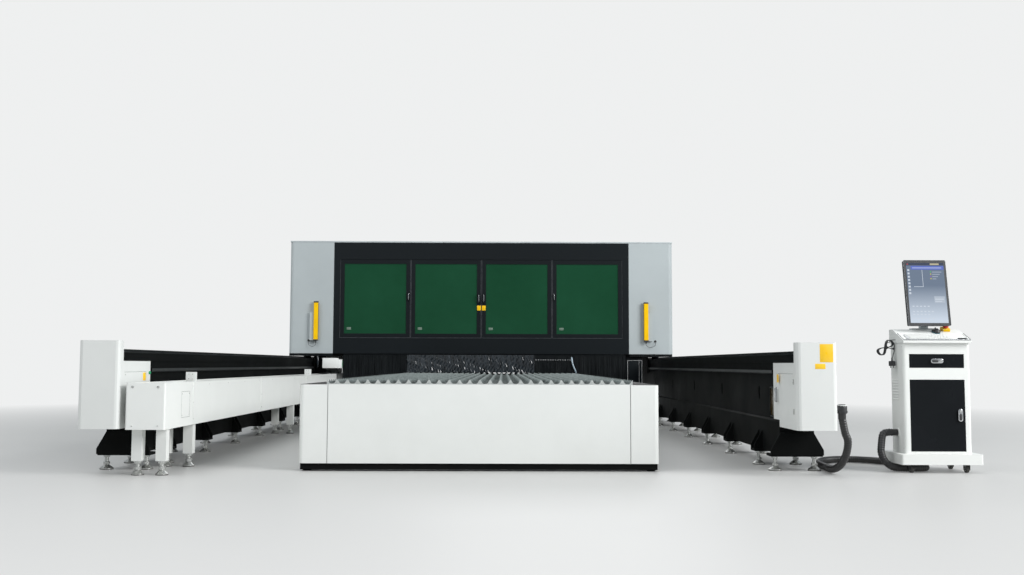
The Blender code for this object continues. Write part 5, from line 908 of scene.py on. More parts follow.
def bars_round(low: Flat, high: Flat, width: float, lap: float = 0.0) -> list[tuple[Flat, Flat]]:
    """Four bars along the inside of a rectangle.

    Args:
        low: Lowest corner.
        high: Highest corner.
        width: Width of the bars.
        lap: How far the side bars reach into the other two.

    Returns:
        Lowest and highest corner of each bar.
    """
    (x0, z0), (x1, z1) = low, high
    bottom, top = z0 + width - lap, z1 - width + lap
    return [((x0, z0), (x1, z0 + width)), ((x0, z1 - width), (x1, z1)),
            ((x0, bottom), (x0 + width, top)), ((x1 - width, bottom), (x1, top))]


def smooth_path(route: list[Point], step: float) -> list[Point]:
    """Even points along a smooth curve through a route, as the part's own hose is drawn.

    Args:
        route: Points that the curve passes through.
        step: Distance between the points that come back.

    Returns:
        Points along the curve.
    """
    points = [Vector(p) for p in route]
    points = [points[0] * 2 - points[1], *points, points[-1] * 2 - points[-2]]
    fine = []
    for a, b, c, d in zip(points, points[1:], points[2:], points[3:]):
        for index in range(24):
            t = index / 24
            fine.append(0.5 * (2 * b + (c - a) * t + (2 * a - 5 * b + 4 * c - d) * t * t
                               + (3 * b - 3 * c + d - a) * t ** 3))
    fine.append(points[-2].copy())
    lengths = [0.0]
    for a, b in zip(fine, fine[1:]):
        lengths.append(lengths[-1] + (b - a).length)
    count = max(2, round(lengths[-1] / step))
    even, at = [], 0
    for index in range(count + 1):
        goal = lengths[-1] * index / count
        while at < len(fine) - 2 and lengths[at + 1] < goal:
            at += 1
        part = (goal - lengths[at]) / max(lengths[at + 1] - lengths[at], 1e-9)
        even.append(tuple(fine[at].lerp(fine[at + 1], min(1.0, max(0.0, part)))))
    return even


def path_length(path: list[Point]) -> float:
    """Length of a line of points."""
    return sum((Vector(b) - Vector(a)).length for a, b in zip(path, path[1:]))


# ------------------------------------------------------------- camera and hose
@dataclass
class Studio:
    """Camera at the photograph's place, plain floor and soft light."""

    eye: Point = (0.18, -13.1, 0.823)
    lens: float = 36.56
    pitch: float = 4.235
    yaw: float = -0.496
    roll: float = 0.17
    floor_size: float = 120.0
    floor_fade: Flat = (5.0, 12.0)
    pale: Colour = (0.86, 0.87, 0.87)
    lamps: tuple[tuple[str, Point, Point, float, float], ...] = (
        ("Window light", (17.0, -13.0, 10.5), (0.0, -1.0, 0.8), 11.0, 5200.0),
        ("Roof light", (-5.0, -6.0, 11.0), (0.0, 0.5, 0.6), 10.0, 820.0),
        ("Rear light", (2.0, 14.0, 9.0), (0.0, 2.0, 0.8), 8.0, 560.0),
    )

    def camera(self) -> None:
        """Makes the scene's camera."""
        data = bpy.data.cameras.new("Camera")
        data.sensor_width = 36.0
        data.lens = self.lens
        data.clip_end = 400.0
        camera = placed("Camera", data)
        turn = (
            Matrix.Rotation(math.radians(self.yaw), 4, "Z")
            @ Matrix.Rotation(math.radians(90.0 + self.pitch), 4, "X")
            @ Matrix.Rotation(math.radians(self.roll), 4, "Z")
        )
        camera.matrix_world = Matrix.Translation(self.eye) @ turn
        bpy.context.scene.camera = camera

    def floor(self) -> None:
        """Makes the plain pale floor, which fades into the background far away."""
        part = bmesh.new()
        bmesh.ops.create_circle(part, cap_ends=True, segments=96, radius=self.floor_size / 2)
        mesh = bpy.data.meshes.new("Floor")
        part.to_mesh(mesh)
        part.free()
        material, web, shader = new_material("Pale floor")
        place = web.add("TexCoord")
        noise = web.add("TexNoise", {"Scale": 0.7, "Detail": 5})
        mix = web.add("Mix", {"A": (0.44, 0.44, 0.43, 1), "B": (0.48, 0.48, 0.47, 1)},
                      data_type="RGBA")
        fill(shader, {"Roughness": 0.42, "Specular IOR Level": 0.35})
        length = web.add("VectorMath", operation="LENGTH")
        fade = web.add("MapRange", {"From Min": self.floor_fade[0], "From Max": self.floor_fade[1]})
        glow = web.add("Emission", {"Color": (*self.pale, 1)})
        blend = web.add("MixShader")
        web.join((place, "Object", noise, "Vector"), (noise, "Fac", mix, "Factor"),
                 (mix, "Result", shader, "Base Color"), (place, "Object", length, 0),
                 (length, "Value", fade, "Value"), (fade, "Result", blend, "Fac"),
                 (shader, "BSDF", blend, 1), (glow, "Emission", blend, 2),
                 (blend, "Shader", web.tree.nodes["Material Output"], "Surface"))
        mesh.materials.append(material)
        made = placed("Floor", mesh)

    def light(self) -> None:
        """Makes the lamps and a pale world."""
        world = bpy.data.worlds.new("Pale room")
        bpy.context.scene.world = world
        world.use_nodes = True
        web = Web(world.node_tree)
        soft = world.node_tree.nodes["Background"]
        fill(soft, {"Color": (0.86, 0.92, 0.96, 1), "Strength": 0.52})
        seen = web.add("Background", {"Color": (*self.pale, 1), "Strength": 1.0})
        kinds = web.add("LightPath")
        either = web.add("Math", operation="MAXIMUM")
        blend = web.add("MixShader")
        web.join((kinds, "Is Camera Ray", either, 0), (kinds, "Is Transmission Ray", either, 1),
                 (either, "Value", blend, "Fac"), (soft, "Background", blend, 1),
                 (seen, "Background", blend, 2), (blend, "Shader",
                world.node_tree.nodes["World Output"], "Surface"))
        for name, place, aim, size, power in self.lamps:
            data = bpy.data.lights.new(name, "AREA")
            data.size = size
            data.energy = power
            lamp = placed(name, data)
            lamp.location = place
            lamp.rotation_mode = "QUATERNION"
            lamp.rotation_quaternion = (Vector(aim) - Vector(place)).to_track_quat("-Z", "Y")

    def build(self) -> None:
        """Sets the view and makes camera, floor and light."""
        bpy.context.scene.view_settings.view_transform = "Standard"
        self.camera()
        self.floor()
        self.light()


@dataclass
class SupplyHose:
    """Corrugated hose from the right cover's elbow round to the console's side."""

    diameter: float = 0.058
    rib: float = 0.0045
    waist: float = 0.9
    start: Point = (2.69, -5.385, 0.4697)
    end: Point = (3.2837, -4.89, 0.3)
    route: tuple[Point, ...] = (
        (2.69, -5.385, 0.43), (2.712, -5.38, 0.325), (2.735, -5.368, 0.265), (2.733, -5.335, 0.172),
        (2.716, -5.265, 0.088), (2.704, -5.16, 0.044), (2.704, -5.03, 0.03), (2.718, -4.88, 0.03),
        (2.73, -4.72, 0.03), (2.762, -4.55, 0.03), (2.832, -4.385, 0.03), (2.94, -4.265, 0.03),
        (3.08, -4.215, 0.03), (3.215, -4.255, 0.03), (3.32, -4.365, 0.03), (3.4, -4.51, 0.03),
        (3.47, -4.67, 0.03), (3.51, -4.81, 0.03), (3.485, -4.92, 0.03), (3.395, -4.962, 0.03),
        (3.3, -4.948, 0.03), (3.222, -4.944, 0.037), (3.165, -4.938, 0.08), (3.14, -4.928, 0.145),
        (3.148, -4.914, 0.212), (3.168, -4.896, 0.284), (3.208, -4.89, 0.3), (3.245, -4.89, 0.3),
    )

    def build(self) -> None:
        """Draws the hose as one curve whose radius steps in and out along it."""
        line = [self.start, *smooth_path(list(self.route), self.rib), self.end]
        made = tube("hose_corrugated", line, self.diameter / 2, 4)
        for index, point in enumerate(made.data.splines[0].points):
            point.radius = 1.0 if index % 4 < 2 else self.waist
        carried(made, Rides.BASE, HOSE)
        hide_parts("hose")
        log.info("piece hose_corrugated: %.3f m long", path_length(line))


# ------------------------------------------------------------------ the table
@dataclass
class SlatTable:
    """Three pallets of serrated slats and the trim on the table's cladding."""

    half: float = 1.2125
    comb_middle: float = 1.2025
    comb_width: float = 0.04
    comb_low: float = 0.5603
    comb_height: float = 0.09
    slat_low: float = 0.5803
    valley: float = 0.668
    tip: float = 0.7
    thickness: float = 0.005
    teeth: int = 30
    rows: int = 31
    end_face: float = 5.0
    side_face: float = 1.3925
    ends: tuple[Flat, ...] = ((-4.867, -1.6303), (-1.6183, 1.6183), (1.6303, 4.867))

    def outline(self) -> list[Flat]:
        """Edge of one slat: narrow tips with rounded valleys between them.

        Returns:
            Corners of the slat across the table.
        """
        pitch = 2 * self.half / self.teeth
        points = [(-self.half, self.slat_low), (self.half, self.slat_low)]
        for index in range(self.teeth):
            right = self.half - pitch * index
            points += [
                (right, self.tip),
                (right - pitch * 0.05, self.tip),
                (right - pitch * 0.24, self.valley + 0.007),
                (right - pitch * 0.38, self.valley + 0.001),
                (right - pitch * 0.62, self.valley + 0.001),
                (right - pitch * 0.76, self.valley + 0.007),
                (right - pitch * 0.95, self.tip),
            ]
        points.append((-self.half, self.tip))
        return points

    def pallet(self, index: int, start: float, end: float) -> None:
        """Builds one pallet in place of its node.

        Args:
            index: Number of the pallet, from the front.
            start: Its front end.
            end: Its rear end.
        """
        shape = Shape()
        for side in (-1, 1):
            middle = side * self.comb_middle
            half = self.comb_width / 2
            shape.slab([(middle - half, self.comb_low), (middle + half, self.comb_low),
                        (middle + half, self.comb_low + self.comb_height),
                        (middle + half * 0.5, self.comb_low + self.comb_height),
                        (middle - half * 0.5, self.comb_low + self.comb_height),
                        (middle - half, self.comb_low + self.comb_height)], Along.Y, start, end,
                       bevel=0.003)
        outline = self.outline()
        pitch = (end - start) / self.rows
        for row in range(self.rows):
            place = start + pitch * (row + 0.5)
            # The foremost slat takes the lighter copy of the zinc finish: painted light on the one
            # row that nothing shades.
            if index == 1 and row == 0:
                Shape().slab(outline, Along.Y, place - self.thickness / 2,
                             place + self.thickness / 2).piece("slat_front", Rides.BASE, FRONT_LIT_ZINC)
                continue
            shape.slab(outline, Along.Y, place - self.thickness / 2, place + self.thickness / 2)
        shape.piece(f"slats_{index}", Rides.BASE, ZINC, (f"slat_pallet_{index}",))

    def trim(self) -> None:
        """Adds panel joints, cover screws and the rubber strips on the side tops."""
        seams, screws = Shape(), Shape()
        for side in (-1, 1):
            face, end = side * self.side_face, side * self.end_face
            for x in (-1.1722, 1.1722):
                seams.box((x - 0.0011, end - 0.0012, 0.062),
                          (x + 0.0011, end + (0.0006 if side > 0 else 0.0012), 0.6645))
            for y in (-3.33, -1.67, 0.0, 1.67, 3.33):
                seams.box((face - 0.0006, y - 0.0012, 0.064), (face + 0.0006, y + 0.0012, 0.662))
                for z in (0.1, 0.36, 0.62):
                    for step in (-0.035, 0.035):
                        screws.screw((face, y + step, z), Along.X, 0.0065, flip=side < 0)
        edges = Shape()
        for low, high in ((-1.3885, -1.2245), (1.2245, 1.3885)):
            edges.box((low, -4.99, 0.6648), (high, 4.99, 0.6668), bevel=0.0006)
        edges.piece("table_edge_strips", Rides.BASE, RUBBER)
        seams.piece("table_seams", Rides.BASE, SEAM)
        screws.piece("table_screws", Rides.BASE, BRIGHT)

    def build(self) -> None:
        """Builds the pallets and the trim."""
        for index, (start, end) in enumerate(self.ends, 1):
            self.pallet(index, start, end)
        self.trim()


# ------------------------------------------------------------ feet and beams
@dataclass
class LevellingFeet:
    """Feet, studs and nuts under the beams and the trough's legs."""

    beam_plate: float = 0.113
    leg_rows: tuple[float, ...] = (-5.3, -4.644, -0.647, 2.751)
    leg_columns: Flat = (-2.5195, -2.3405)
    leg_low: float = 0.105

    def foot(self, steel: Shape, pads: Shape, x: float, y: float, radius: float, stud: float,
             top: float) -> None:
        """Adds one foot.

        Args:
            steel: Shape that takes the disc, nut and stud.
            pads: Shape that takes the rubber under it.
            x: Place of its stud.
            y: Place of its stud.
            radius: Radius of its disc.
            stud: Radius of its stud.
            top: Height of the plate that it carries.
        """
        steel.turned([(radius + 0.001, 0.006), (radius + 0.001, 0.012), (radius * 0.86, 0.017),
                      (stud + 0.01, 0.031), (stud + 0.004, 0.036), (stud + 0.0008, 0.036),
                      (stud + 0.0008, top)], (x, y, 0), steps=20)
        pads.turned([(radius + 0.001, 0.0), (radius + 0.002, 0.003), (radius + 0.001, 0.0062)],
                    (x, y, 0), steps=20)
        steel.hexagon((x, y, 0.0385), stud * 3.5, stud * 1.5)
        steel.hexagon((x, y, top - stud * 1.35), stud * 3.5, stud * 1.3)
        steel.ring([(stud, top - 0.0035), (stud * 2.1, top - 0.0035), (stud * 2.1, top - 0.0002),
                    (stud, top - 0.0002)], (x, y, 0), steps=20)

    def build(self) -> None:
        """Builds every foot as two pieces, the steel and the rubber."""
        steel, pads = Shape(), Shape()
        for centre in BEAM_CENTRES:
            for row in BEAM_FOOT_ROWS:
                for side in (-1, 1):
                    self.foot(steel, pads, centre + side * BEAM_FOOT_STEP, row, 0.05, 0.014,
                              self.beam_plate)
        for row in self.leg_rows:
            for column in self.leg_columns:
                self.foot(steel, pads, column, row, 0.044, 0.016, self.leg_low)
        steel.piece("levelling_feet", Rides.BASE, BRIGHT)
        pads.piece("foot_pads", Rides.BASE, RUBBER)


@dataclass
class BeamFittings:
    """Nuts on the foot plates, the sheet in the window and the rack's teeth."""

    plate_top: float = 0.133
    rack_start: float = -4.749
    rack_pitch: float = 0.0245
    rack_teeth: int = 50

    def nuts(self) -> None:
        """Adds lock nuts on the foot plates and stub ends of the studs."""
        shape = Shape()
        for centre in BEAM_CENTRES:
            for row in BEAM_FOOT_ROWS:
                for side in (-1, 1):
                    x = centre + side * BEAM_FOOT_STEP
                    shape.hexagon((x, row, self.plate_top), 0.044, 0.014)
                    shape.turned([(0.0115, 0), (0.0115, 0.026), (0.009, 0.029)],
                                 (x, row, self.plate_top), steps=12)
        shape.piece("foot_lock_nuts", Rides.BASE, BRIGHT)

    def window(self) -> None:
        """Closes each beam's service window with a thin amber sheet, set back in the opening."""
        sheet, frames = Shape(), Shape()
        for centre, side in zip(BEAM_CENTRES, (1, -1)):
            face = centre + side * 0.115
            sheet.box((face - side * 0.006, -4.8395, 0.4075),
                      (face - side * 0.009, -4.5805, 0.6495), bevel=0.001)
            for low, high in bars_round((-4.8398, 0.4072), (-4.5802, 0.6498), 0.0118):
                frames.box((face - side * 0.0055, *low), (face - side * 0.0015, *high),
                           bevel=0.0012)
        sheet.piece("window_sheets", Rides.BASE, AMBER)
        frames.piece("window_rims", Rides.BASE, FRAME_BLACK)

    def rack(self) -> None:
        """Adds the toothed bright face of the gear rack on each beam's inner side."""
        shape = Shape()
        pitch, teeth = self.rack_pitch, self.rack_teeth
        root, tip, top = 0.7555, 0.7635, 0.7845
        for centre, side in zip(BEAM_CENTRES, (1, -1)):
            face = centre + side * 0.137
            low, high = sorted((face - side * 0.0004, face + side * 0.0008))
            for start in steps_of(self.rack_start, 1.225, 8):
                outline = []
                for y in steps_of(start, pitch, teeth):
                    outline += [(y, root), (y + pitch * 0.3, root), (y + pitch * 0.42, tip),
                                (y + pitch * 0.88, tip)]
                outline += [(start + teeth * pitch, tip), (start + teeth * pitch, top),
                            (start, top)]
                shape.slab(outline, Along.X, low, high)
        shape.piece("rack_faces", Rides.BASE, RAIL)

    def build(self) -> None:
        """Builds the fittings."""
        self.nuts()
        self.window()
        self.rack()


# ------------------------------------------------------------------ the chain
@dataclass
class ChainLinks:
    """Energy chain as single links along its lower run, bend and upper run."""

    left: float = -2.51
    right: float = -2.35
    lower: float = 0.3903
    upper: float = 0.6063
    radius: float = 0.108
    fixed_end: float = 0.862
    moving_end: float = 3.577
    lower_links: int = 8
    bend_links: int = 3
    upper_links: int = 33
    plate: float = 0.011
    cheek: float = 0.038

    def pins(self) -> list[Flat]:
        """Places of the pins across the chain's side view.

        Returns:
            The places, from the fixed end.
        """
        middle = (self.lower + self.upper) / 2
        points = [(self.fixed_end * (1 - k / self.lower_links),
                   self.lower) for k in range(self.lower_links)]
        for k in range(self.bend_links + 1):
            angle = math.pi * k / self.bend_links
            points.append((-self.radius * math.sin(angle), middle - self.radius * math.cos(angle)))
        for k in range(1, self.upper_links + 1):
            points.append((self.moving_end * k / self.upper_links, self.upper))
        return points

    def link(self, shape: Shape, a: Flat, b: Flat, inner: bool) -> None:
        """Adds one link between two pins.

        Args:
            shape: Shape that takes the link.
            a: First pin, across the side view.
            b: Second pin.
            inner: Whether its plates lie inside its neighbours' plates.
        """
        turn = math.atan2(b[1] - a[1], b[0] - a[0])
        outline = []
        for centre, start in ((b, -0.5), (a, 0.5)):
            for step in range(7):
                angle = turn + (start + step / 6) * math.pi
                outline.append((centre[0] + self.cheek * math.cos(angle),
                                centre[1] + self.cheek * math.sin(angle)))
        shift = self.plate * 0.55 if inner else 0.0
        for side, edge in ((1, self.left), (-1, self.right)):
            near = edge + side * shift
            low, high = sorted((near, near + side * self.plate))
            shape.slab(outline, Along.X, low, high, bevel=0.0015)
            shape.turned([(0.01, 0), (0.008, 0.002)], (near, a[0], a[1]), Along.X, steps=10,
                         flip=side > 0)
        middle = ((a[0] + b[0]) / 2, (a[1] + b[1]) / 2)
        space = Matrix.Translation((0, *middle)) @ Matrix.Rotation(turn, 4, "X")
        for level in (-1, 1):
            shape.tilted(space, (self.left + 0.012, -0.02, level * (self.cheek - 0.007)),
                         (self.right - 0.012, 0.02, level * (self.cheek - 0.001)), 0.002)

    def build(self) -> None:
        """Builds every link and the bracket at the chain's fixed end."""
        shape = Shape()
        pins = self.pins()
        for index, (a, b) in enumerate(zip(pins, pins[1:])):
            self.link(shape, a, b, index % 2 == 0)
        shape.piece("chain_links", Rides.BASE, PLASTIC, ("energy_chain",))
        ends = Shape()
        ends.box((self.left + 0.02, self.fixed_end - 0.03, 0.3502),
                 (self.right - 0.02, self.fixed_end + 0.036, 0.3535), bevel=0.001)
        for x in (-2.47, -2.43, -2.39):
            ends.screw((x, self.fixed_end + 0.018, 0.3535), Along.Z, 0.006)
        ends.piece("chain_end_bracket", Rides.BASE, BRIGHT)


# ------------------------------------------------------- end covers, trough
@dataclass
class CoverTrim:
    """Handle, hinges, screws and plain label fields of the two end covers."""

    left: float = -2.922
    right: float = 2.642
    left_inner: float = -2.623
    field_front: float = -5.4503
    elbow: Point = (2.69, -5.385, 0.4697)

    def build(self) -> None:
        """Builds the trim of both covers and the hose's fitting."""
        handle = Shape()
        handle.box((2.3145, -4.9255, 0.539), (2.33, -4.909, 0.646), bevel=0.004, segments=3)
        handle.box((2.3275, -4.931, 0.533), (2.3288, -4.903, 0.652), bevel=0.0006)
        handle.piece("cover_handle", Rides.COVER_DOOR, STEEL)
        hinges = Shape()
        for z in (0.48, 0.7):
            hinges.turned([(0.0055, -0.02), (0.0055, 0.02)], (2.3385, -5.364, z), steps=12)
        hinges.piece("cover_hinges", Rides.BASE, BRIGHT)
        Shape().box((2.3282, -4.986, 0.689), (2.3291, -4.937, 0.751),
                    bevel=0.0004).piece("cover_door_field", Rides.COVER_DOOR, YELLOW)
        fields = Shape()
        front = self.field_front
        fields.box((2.513, front, 0.846), (2.612, front + 0.0004, 0.98), bevel=0.0004)
        fields.box((2.477, front, 0.796), (2.554, front + 0.0004, 0.835), bevel=0.0004)
        fields.box((-2.6228, -4.943, 0.69), (-2.6219, -4.878, 0.752), bevel=0.0004)
        fields.piece("cover_fields", Rides.BASE, YELLOW)
        Shape().turned([(0.0125, -0.0005), (0.0125, 0.006), (0.0095, 0.013), (0, 0.0145)],
                       (-2.6228, -4.806, 0.75), Along.X, steps=18).piece("cover_button", Rides.BASE,
                GREEN)
        screws = Shape()
        for y in (-5.325, -4.89):
            for z in (0.44, 0.74):
                screws.screw((self.left_inner, y, z), Along.X, 0.0055)
        for side, face in ((1, self.right), (-1, self.left)):
            for y in (-5.2, -4.99, -4.8):
                screws.screw((face, y, 0.815), Along.X, 0.0055, flip=side < 0)
                screws.screw((face, y, 0.375), Along.X, 0.0055, flip=side < 0)
        screws.piece("cover_screws", Rides.BASE, BRIGHT)
        seams = Shape()
        for side, face in ((-1, self.left), (1, self.right)):
            seams.box((face - side * 0.0002, -5.3695, 0.352),
                      (face + side * 0.0006, -5.3675, 0.838))
        for low, high in ((-2.92, -2.624), (2.344, 2.64)):
            seams.box((low, -5.3705, 0.8405), (high, -5.3685, 0.8416))
        seams.piece("cover_seams", Rides.BASE, SEAM)
        elbow = Shape()
        x, y, z = self.elbow
        elbow.turned([(0.0358, -0.001), (0.0372, 0.004), (0.0372, 0.05), (0.034, 0.06),
                      (0.022, 0.0665), (0, 0.0675)], (x, y, z), steps=28)
        elbow.ring([(0.033, 0.006), (0.04, 0.006), (0.0408, 0.01), (0.04, 0.02), (0.033, 0.02)],
                   (x, y, z))
        elbow.turned([(0.031, 2.6425), (0.031, 2.65), (0.0262, 2.652), (0.0262, 2.688), (0, 2.69)],
                     (0, y, z + 0.0313), Along.X, steps=24)
        elbow.piece("hose_elbow", Rides.BASE, PLASTIC)


@dataclass
class TroughTrim:
    """Screws, joints and the access panel of the cable trough."""

    face: float = -2.285
    rear_face: float = -2.575
    front: float = -5.44

    def build(self) -> None:
        """Builds the trough's trim."""
        screws, seams, plates = Shape(), Shape(), Shape()
        for x in (-2.525, -2.338):
            screws.turned([(0.0105, -0.0005), (0.0105, 0.001), (0.0065, 0.004), (0, 0.0042)],
                          (x, self.front, 0.652), Along.Y, steps=14, flip=True)
            screws.screw((x, self.front, 0.368), Along.Y, 0.005, flip=True)
        for low, high in bars_round((-5.0505, 0.4075), (-4.8395, 0.6077), 0.0017):
            seams.box((self.face - 0.0003, *low), (self.face + 0.0006, *high))
        for y in (-5.032, -4.858):
            for z in (0.425, 0.59):
                screws.screw((self.face, y, z), Along.X, 0.0048)
        for side, face in ((1, self.face), (-1, self.rear_face)):
            for y in (-4.752, -2.4, 0.05, 2.49):
                plates.box((face, y - 0.016, 0.354), (face + side * 0.003, y + 0.016, 0.676),
                           bevel=0.001)
                for z in (0.385, 0.515, 0.645):
                    screws.screw((face + side * 0.003, y, z), Along.X, 0.005, flip=side < 0)
            for y in steps_of(-4.3, 0.6, 15):
                screws.screw((face, y, 0.654), Along.X, 0.0042, flip=side < 0)
        for y in (-4.6545, 0.3885):
            for x in (-2.353, -2.323):
                for z in (0.7, 0.738):
                    screws.screw((x, y, z), Along.Y, 0.0046, flip=True)
        screws.piece("trough_screws", Rides.BASE, BRIGHT)
        seams.piece("trough_seams", Rides.BASE, SEAM)
        plates.piece("trough_joint_plates", Rides.BASE, WHITE)


# ------------------------------------------------------------------ the cabin
@dataclass
class CabinTrim:
    """What is fixed on the travelling cabin: roof, curtains, skirt, leaves and back."""

    front: float = 2.29
    leaf_front: float = 2.298
    back: float = 4.49
    roof_low: float = 2.6251
    roof_high: float = 2.648
    roof_left: float = -2.978
    roof_width: float = 5.676
    back_left: float = -2.3277
    back_width: float = 4.3754
    panels: int = 5
    pane_centres: tuple[float, ...] = (-1.7124, -0.6641, 0.3841, 1.4324)
    pane_half: float = 0.4718
    pane_low: float = 1.2606
    pane_high: float = 2.3237
    pane_front: float = 2.3063

    def carriage_box(self) -> None:
        """Adds the white junction box and the cable strap on the left carriage's front."""
        Shape().slab([(-2.473, 0.762), (-2.188, 0.762), (-2.188, 0.89), (-2.245, 0.89),
                      (-2.245, 0.9106), (-2.473, 0.9106)], Along.Y, 2.26, 2.3405,
                     bevel=0.004).piece("carriage_box", Rides.GANTRY, WHITE)
        dots, screws = Shape(), Shape()
        for z in (0.786, 0.812, 0.838, 0.864):
            dots.turned([(0.0055, 0), (0.0055, 0.006), (0.004, 0.009)], (-2.188, 2.3, z), Along.X,
                        steps=12)
        dots.piece("carriage_box_glands", Rides.GANTRY, GREEN)
        for x in (-2.46, -2.202):
            screws.screw((x, 2.26, 0.776), Along.Y, 0.0045, flip=True)
        screws.screw((-2.46, 2.26, 0.897), Along.Y, 0.0045, flip=True)
        screws.screw((-2.202, 2.26, 0.877), Along.Y, 0.0045, flip=True)
        screws.piece("carriage_box_screws", Rides.GANTRY, BRIGHT)
        Shape().rod([(-2.552, 2.334, 0.955), (-2.55, 2.312, 0.93), (-2.546, 2.304, 0.88),
                     (-2.548, 2.304, 0.84), (-2.553, 2.31, 0.806), (-2.555, 2.324, 0.789),
                     (-2.555, 2.341, 0.785)], 0.016, 5).piece("carriage_strap", Rides.GANTRY, FILM)

    def roof(self) -> None:
        """Replaces the plain roof with joined panels and recessed screws."""
        shape, screws = Shape(), Shape()
        edges = [self.roof_left + self.roof_width * k / self.panels for k in range(self.panels + 1)]
        for index, (low, high) in enumerate(zip(edges, edges[1:])):
            first = low if index == 0 else low + 0.0015
            last = high if index == self.panels - 1 else high - 0.0015
            shape.box((first, self.front, self.roof_low), (last, self.back, self.roof_high),
                      bevel=0.005, segments=2)
            for x in (first + 0.05, last - 0.05):
                for y in (2.36, 3.39, 4.42):
                    screws.turned([(0.007, -0.001), (0.007, 0.0008), (0.004, 0.0019)],
                                  (x, y, self.roof_high), steps=10)
        shape.piece("roof_panels", Rides.GANTRY, GREY, ("roof",))
        screws.piece("roof_screws", Rides.GANTRY, BRIGHT)

    def gaskets(self) -> None:
        """Adds a rubber bead round each pane and plain fields on the leaves."""
        for index, centre in enumerate(self.pane_centres, 1):
            shape = Shape()
            low, high = centre - self.pane_half, centre + self.pane_half
            bead, depth = 0.01, 0.0045
            near, far = self.pane_front - depth, self.pane_front + 0.0002
            for a, b in bars_round((low, self.pane_low), (high, self.pane_high), bead, bead * 0.2):
                shape.box((a[0], near, a[1]), (b[0], far, b[1]), bevel=0.002)
            shape.piece(f"pane_gasket_{index}", f"leaf_{index}", RUBBER)
            Shape().box((low + 0.055, self.pane_front - 0.0008, 1.33),
                        (low + 0.118, self.pane_front + 0.0001, 1.366),
                        bevel=0.0003).piece(f"pane_field_{index}", f"leaf_{index}", PANE_FIELD)
        for leaf, first, last in ((2, -0.203, -0.147), (3, -0.133, -0.077)):
            Shape().box((first, self.leaf_front - 0.0009, 1.62),
                        (last, self.leaf_front + 0.0002, 1.692),
                        bevel=0.0004).piece(f"leaf_field_{leaf}", f"leaf_{leaf}", YELLOW)

    def pulls(self) -> None:
        """Adds bright strips on the pulls and grips as painted highlights, and lighter lines along
        each leaf's edges: worn edges with painted edge highlight.
        """
        # Steel strips on the black pulls and grips stand for their glints: painted highlights.
        for leaf, x, y, z, half in ((1, -1.219, 2.2685, 1.82, 0.045),
                (2, -0.177, 2.2535, 1.795, 0.055), (3, -0.103, 2.2535, 1.795, 0.055),
                (4, 0.939, 2.2685, 1.82, 0.045)):
            Shape().box((x - 0.0035, y - 0.0008, z - half), (x + 0.0035, y + 0.0015, z + half),
                        bevel=0.0006).piece(f"pull_highlight_strip_{leaf}", f"leaf_{leaf}", STEEL)
        # Thin lighter lines along each leaf's sides and bottom: partly worn edges, partly painted
        # edge highlight.
        for leaf, low, high in ((1, -2.2355, -1.1893), (2, -1.1853, -0.143), (3, -0.137, 0.9052),
                                (4, 0.9113, 1.9535)):
            shape = Shape()
            for x in (low + 0.0045, high - 0.0045):
                shape.box((x - 0.0016, self.leaf_front - 0.0008, 1.2125),
                          (x + 0.0016, self.leaf_front + 0.0004, 2.372))
            shape.box((low + 0.0061, self.leaf_front - 0.0008, 1.2112),
                      (high - 0.0061, self.leaf_front + 0.0004, 1.2144))
            shape.piece(f"leaf_edge_{leaf}", f"leaf_{leaf}", BEZEL)

    def hinges(self) -> None:
        """Adds the hinge knuckles on both jambs."""
        for leaf, x in ((1, -2.2443), (4, 1.9643)):
            shape = Shape()
            for z in (1.34, 1.79, 2.24):
                shape.turned([(0.0062, -0.045), (0.0062, 0.045)], (x, 2.2925, z), steps=14)
                shape.turned([(0.0048, -0.049), (0.0048, 0.049)], (x, 2.2925, z), steps=14)
            shape.piece(f"jamb_hinges_{leaf}", Rides.GANTRY, FRAME_BLACK)

    def curtains(self) -> None:
        """Adds caps, lenses, grommets, a bracket and the short leads of the light curtains."""
        caps, lenses, grommets = Shape(), Shape(), Shape()
        for side, low, high in ((-1, -2.608, -2.542), (1, 2.262, 2.328)):
            for z0, z1 in ((1.1625, 1.185), (1.723, 1.7455)):
                caps.slab(rounded((low - 0.0008, 2.2192), (high + 0.0008, 2.2708), 0.01), Along.Z,
                          z0, z1, bevel=0.002)
            inner = high if side < 0 else low
            lenses.box((inner - side * 0.0008, 2.232, 1.19), (inner + side * 0.0002, 2.258, 1.718),
                       bevel=0.0003)
            middle = (low + high) / 2
            caps.turned([(0.0085, 0.001), (0.0085, -0.022), (0.006, -0.034)],
                        (middle, 2.245, 1.1625), steps=16)
            hole = -2.684 if side < 0 else 2.437
            grommets.turned([(0.017, -0.0005), (0.018, 0.004), (0.012, 0.008)],
                            (hole, self.front, 1.17), Along.Y, steps=20, flip=True)
            start = (middle, 2.245, 1.145)
            end = (hole, 2.284, 1.17)
            route = [start, (middle, 2.245, 1.115), (middle + (hole - middle) * 0.22, 2.247, 1.087),
                     (middle + (hole - middle) * 0.55, 2.251, 1.081),
                     (hole - (hole - middle) * 0.08, 2.257, 1.103), (hole, 2.262, 1.135),
                     (hole, 2.27, 1.158), end]
            self.lead("curtain_lead_left" if side < 0 else "curtain_lead_right", route, 0.006,
                      Rides.GANTRY)
        bracket = Shape()
        bracket.slab(rounded((2.3285, 2.2725), (2.388, 2.2905), 0.004), Along.Z, 1.172, 1.585,
                     bevel=0.001)
        for z in (1.215, 1.54):
            bracket.screw((2.368, 2.2725, z), Along.Y, 0.005, flip=True)
        bracket.piece("curtain_bracket", Rides.GANTRY, WHITE)
        caps.piece("curtain_caps", Rides.GANTRY, PLASTIC)
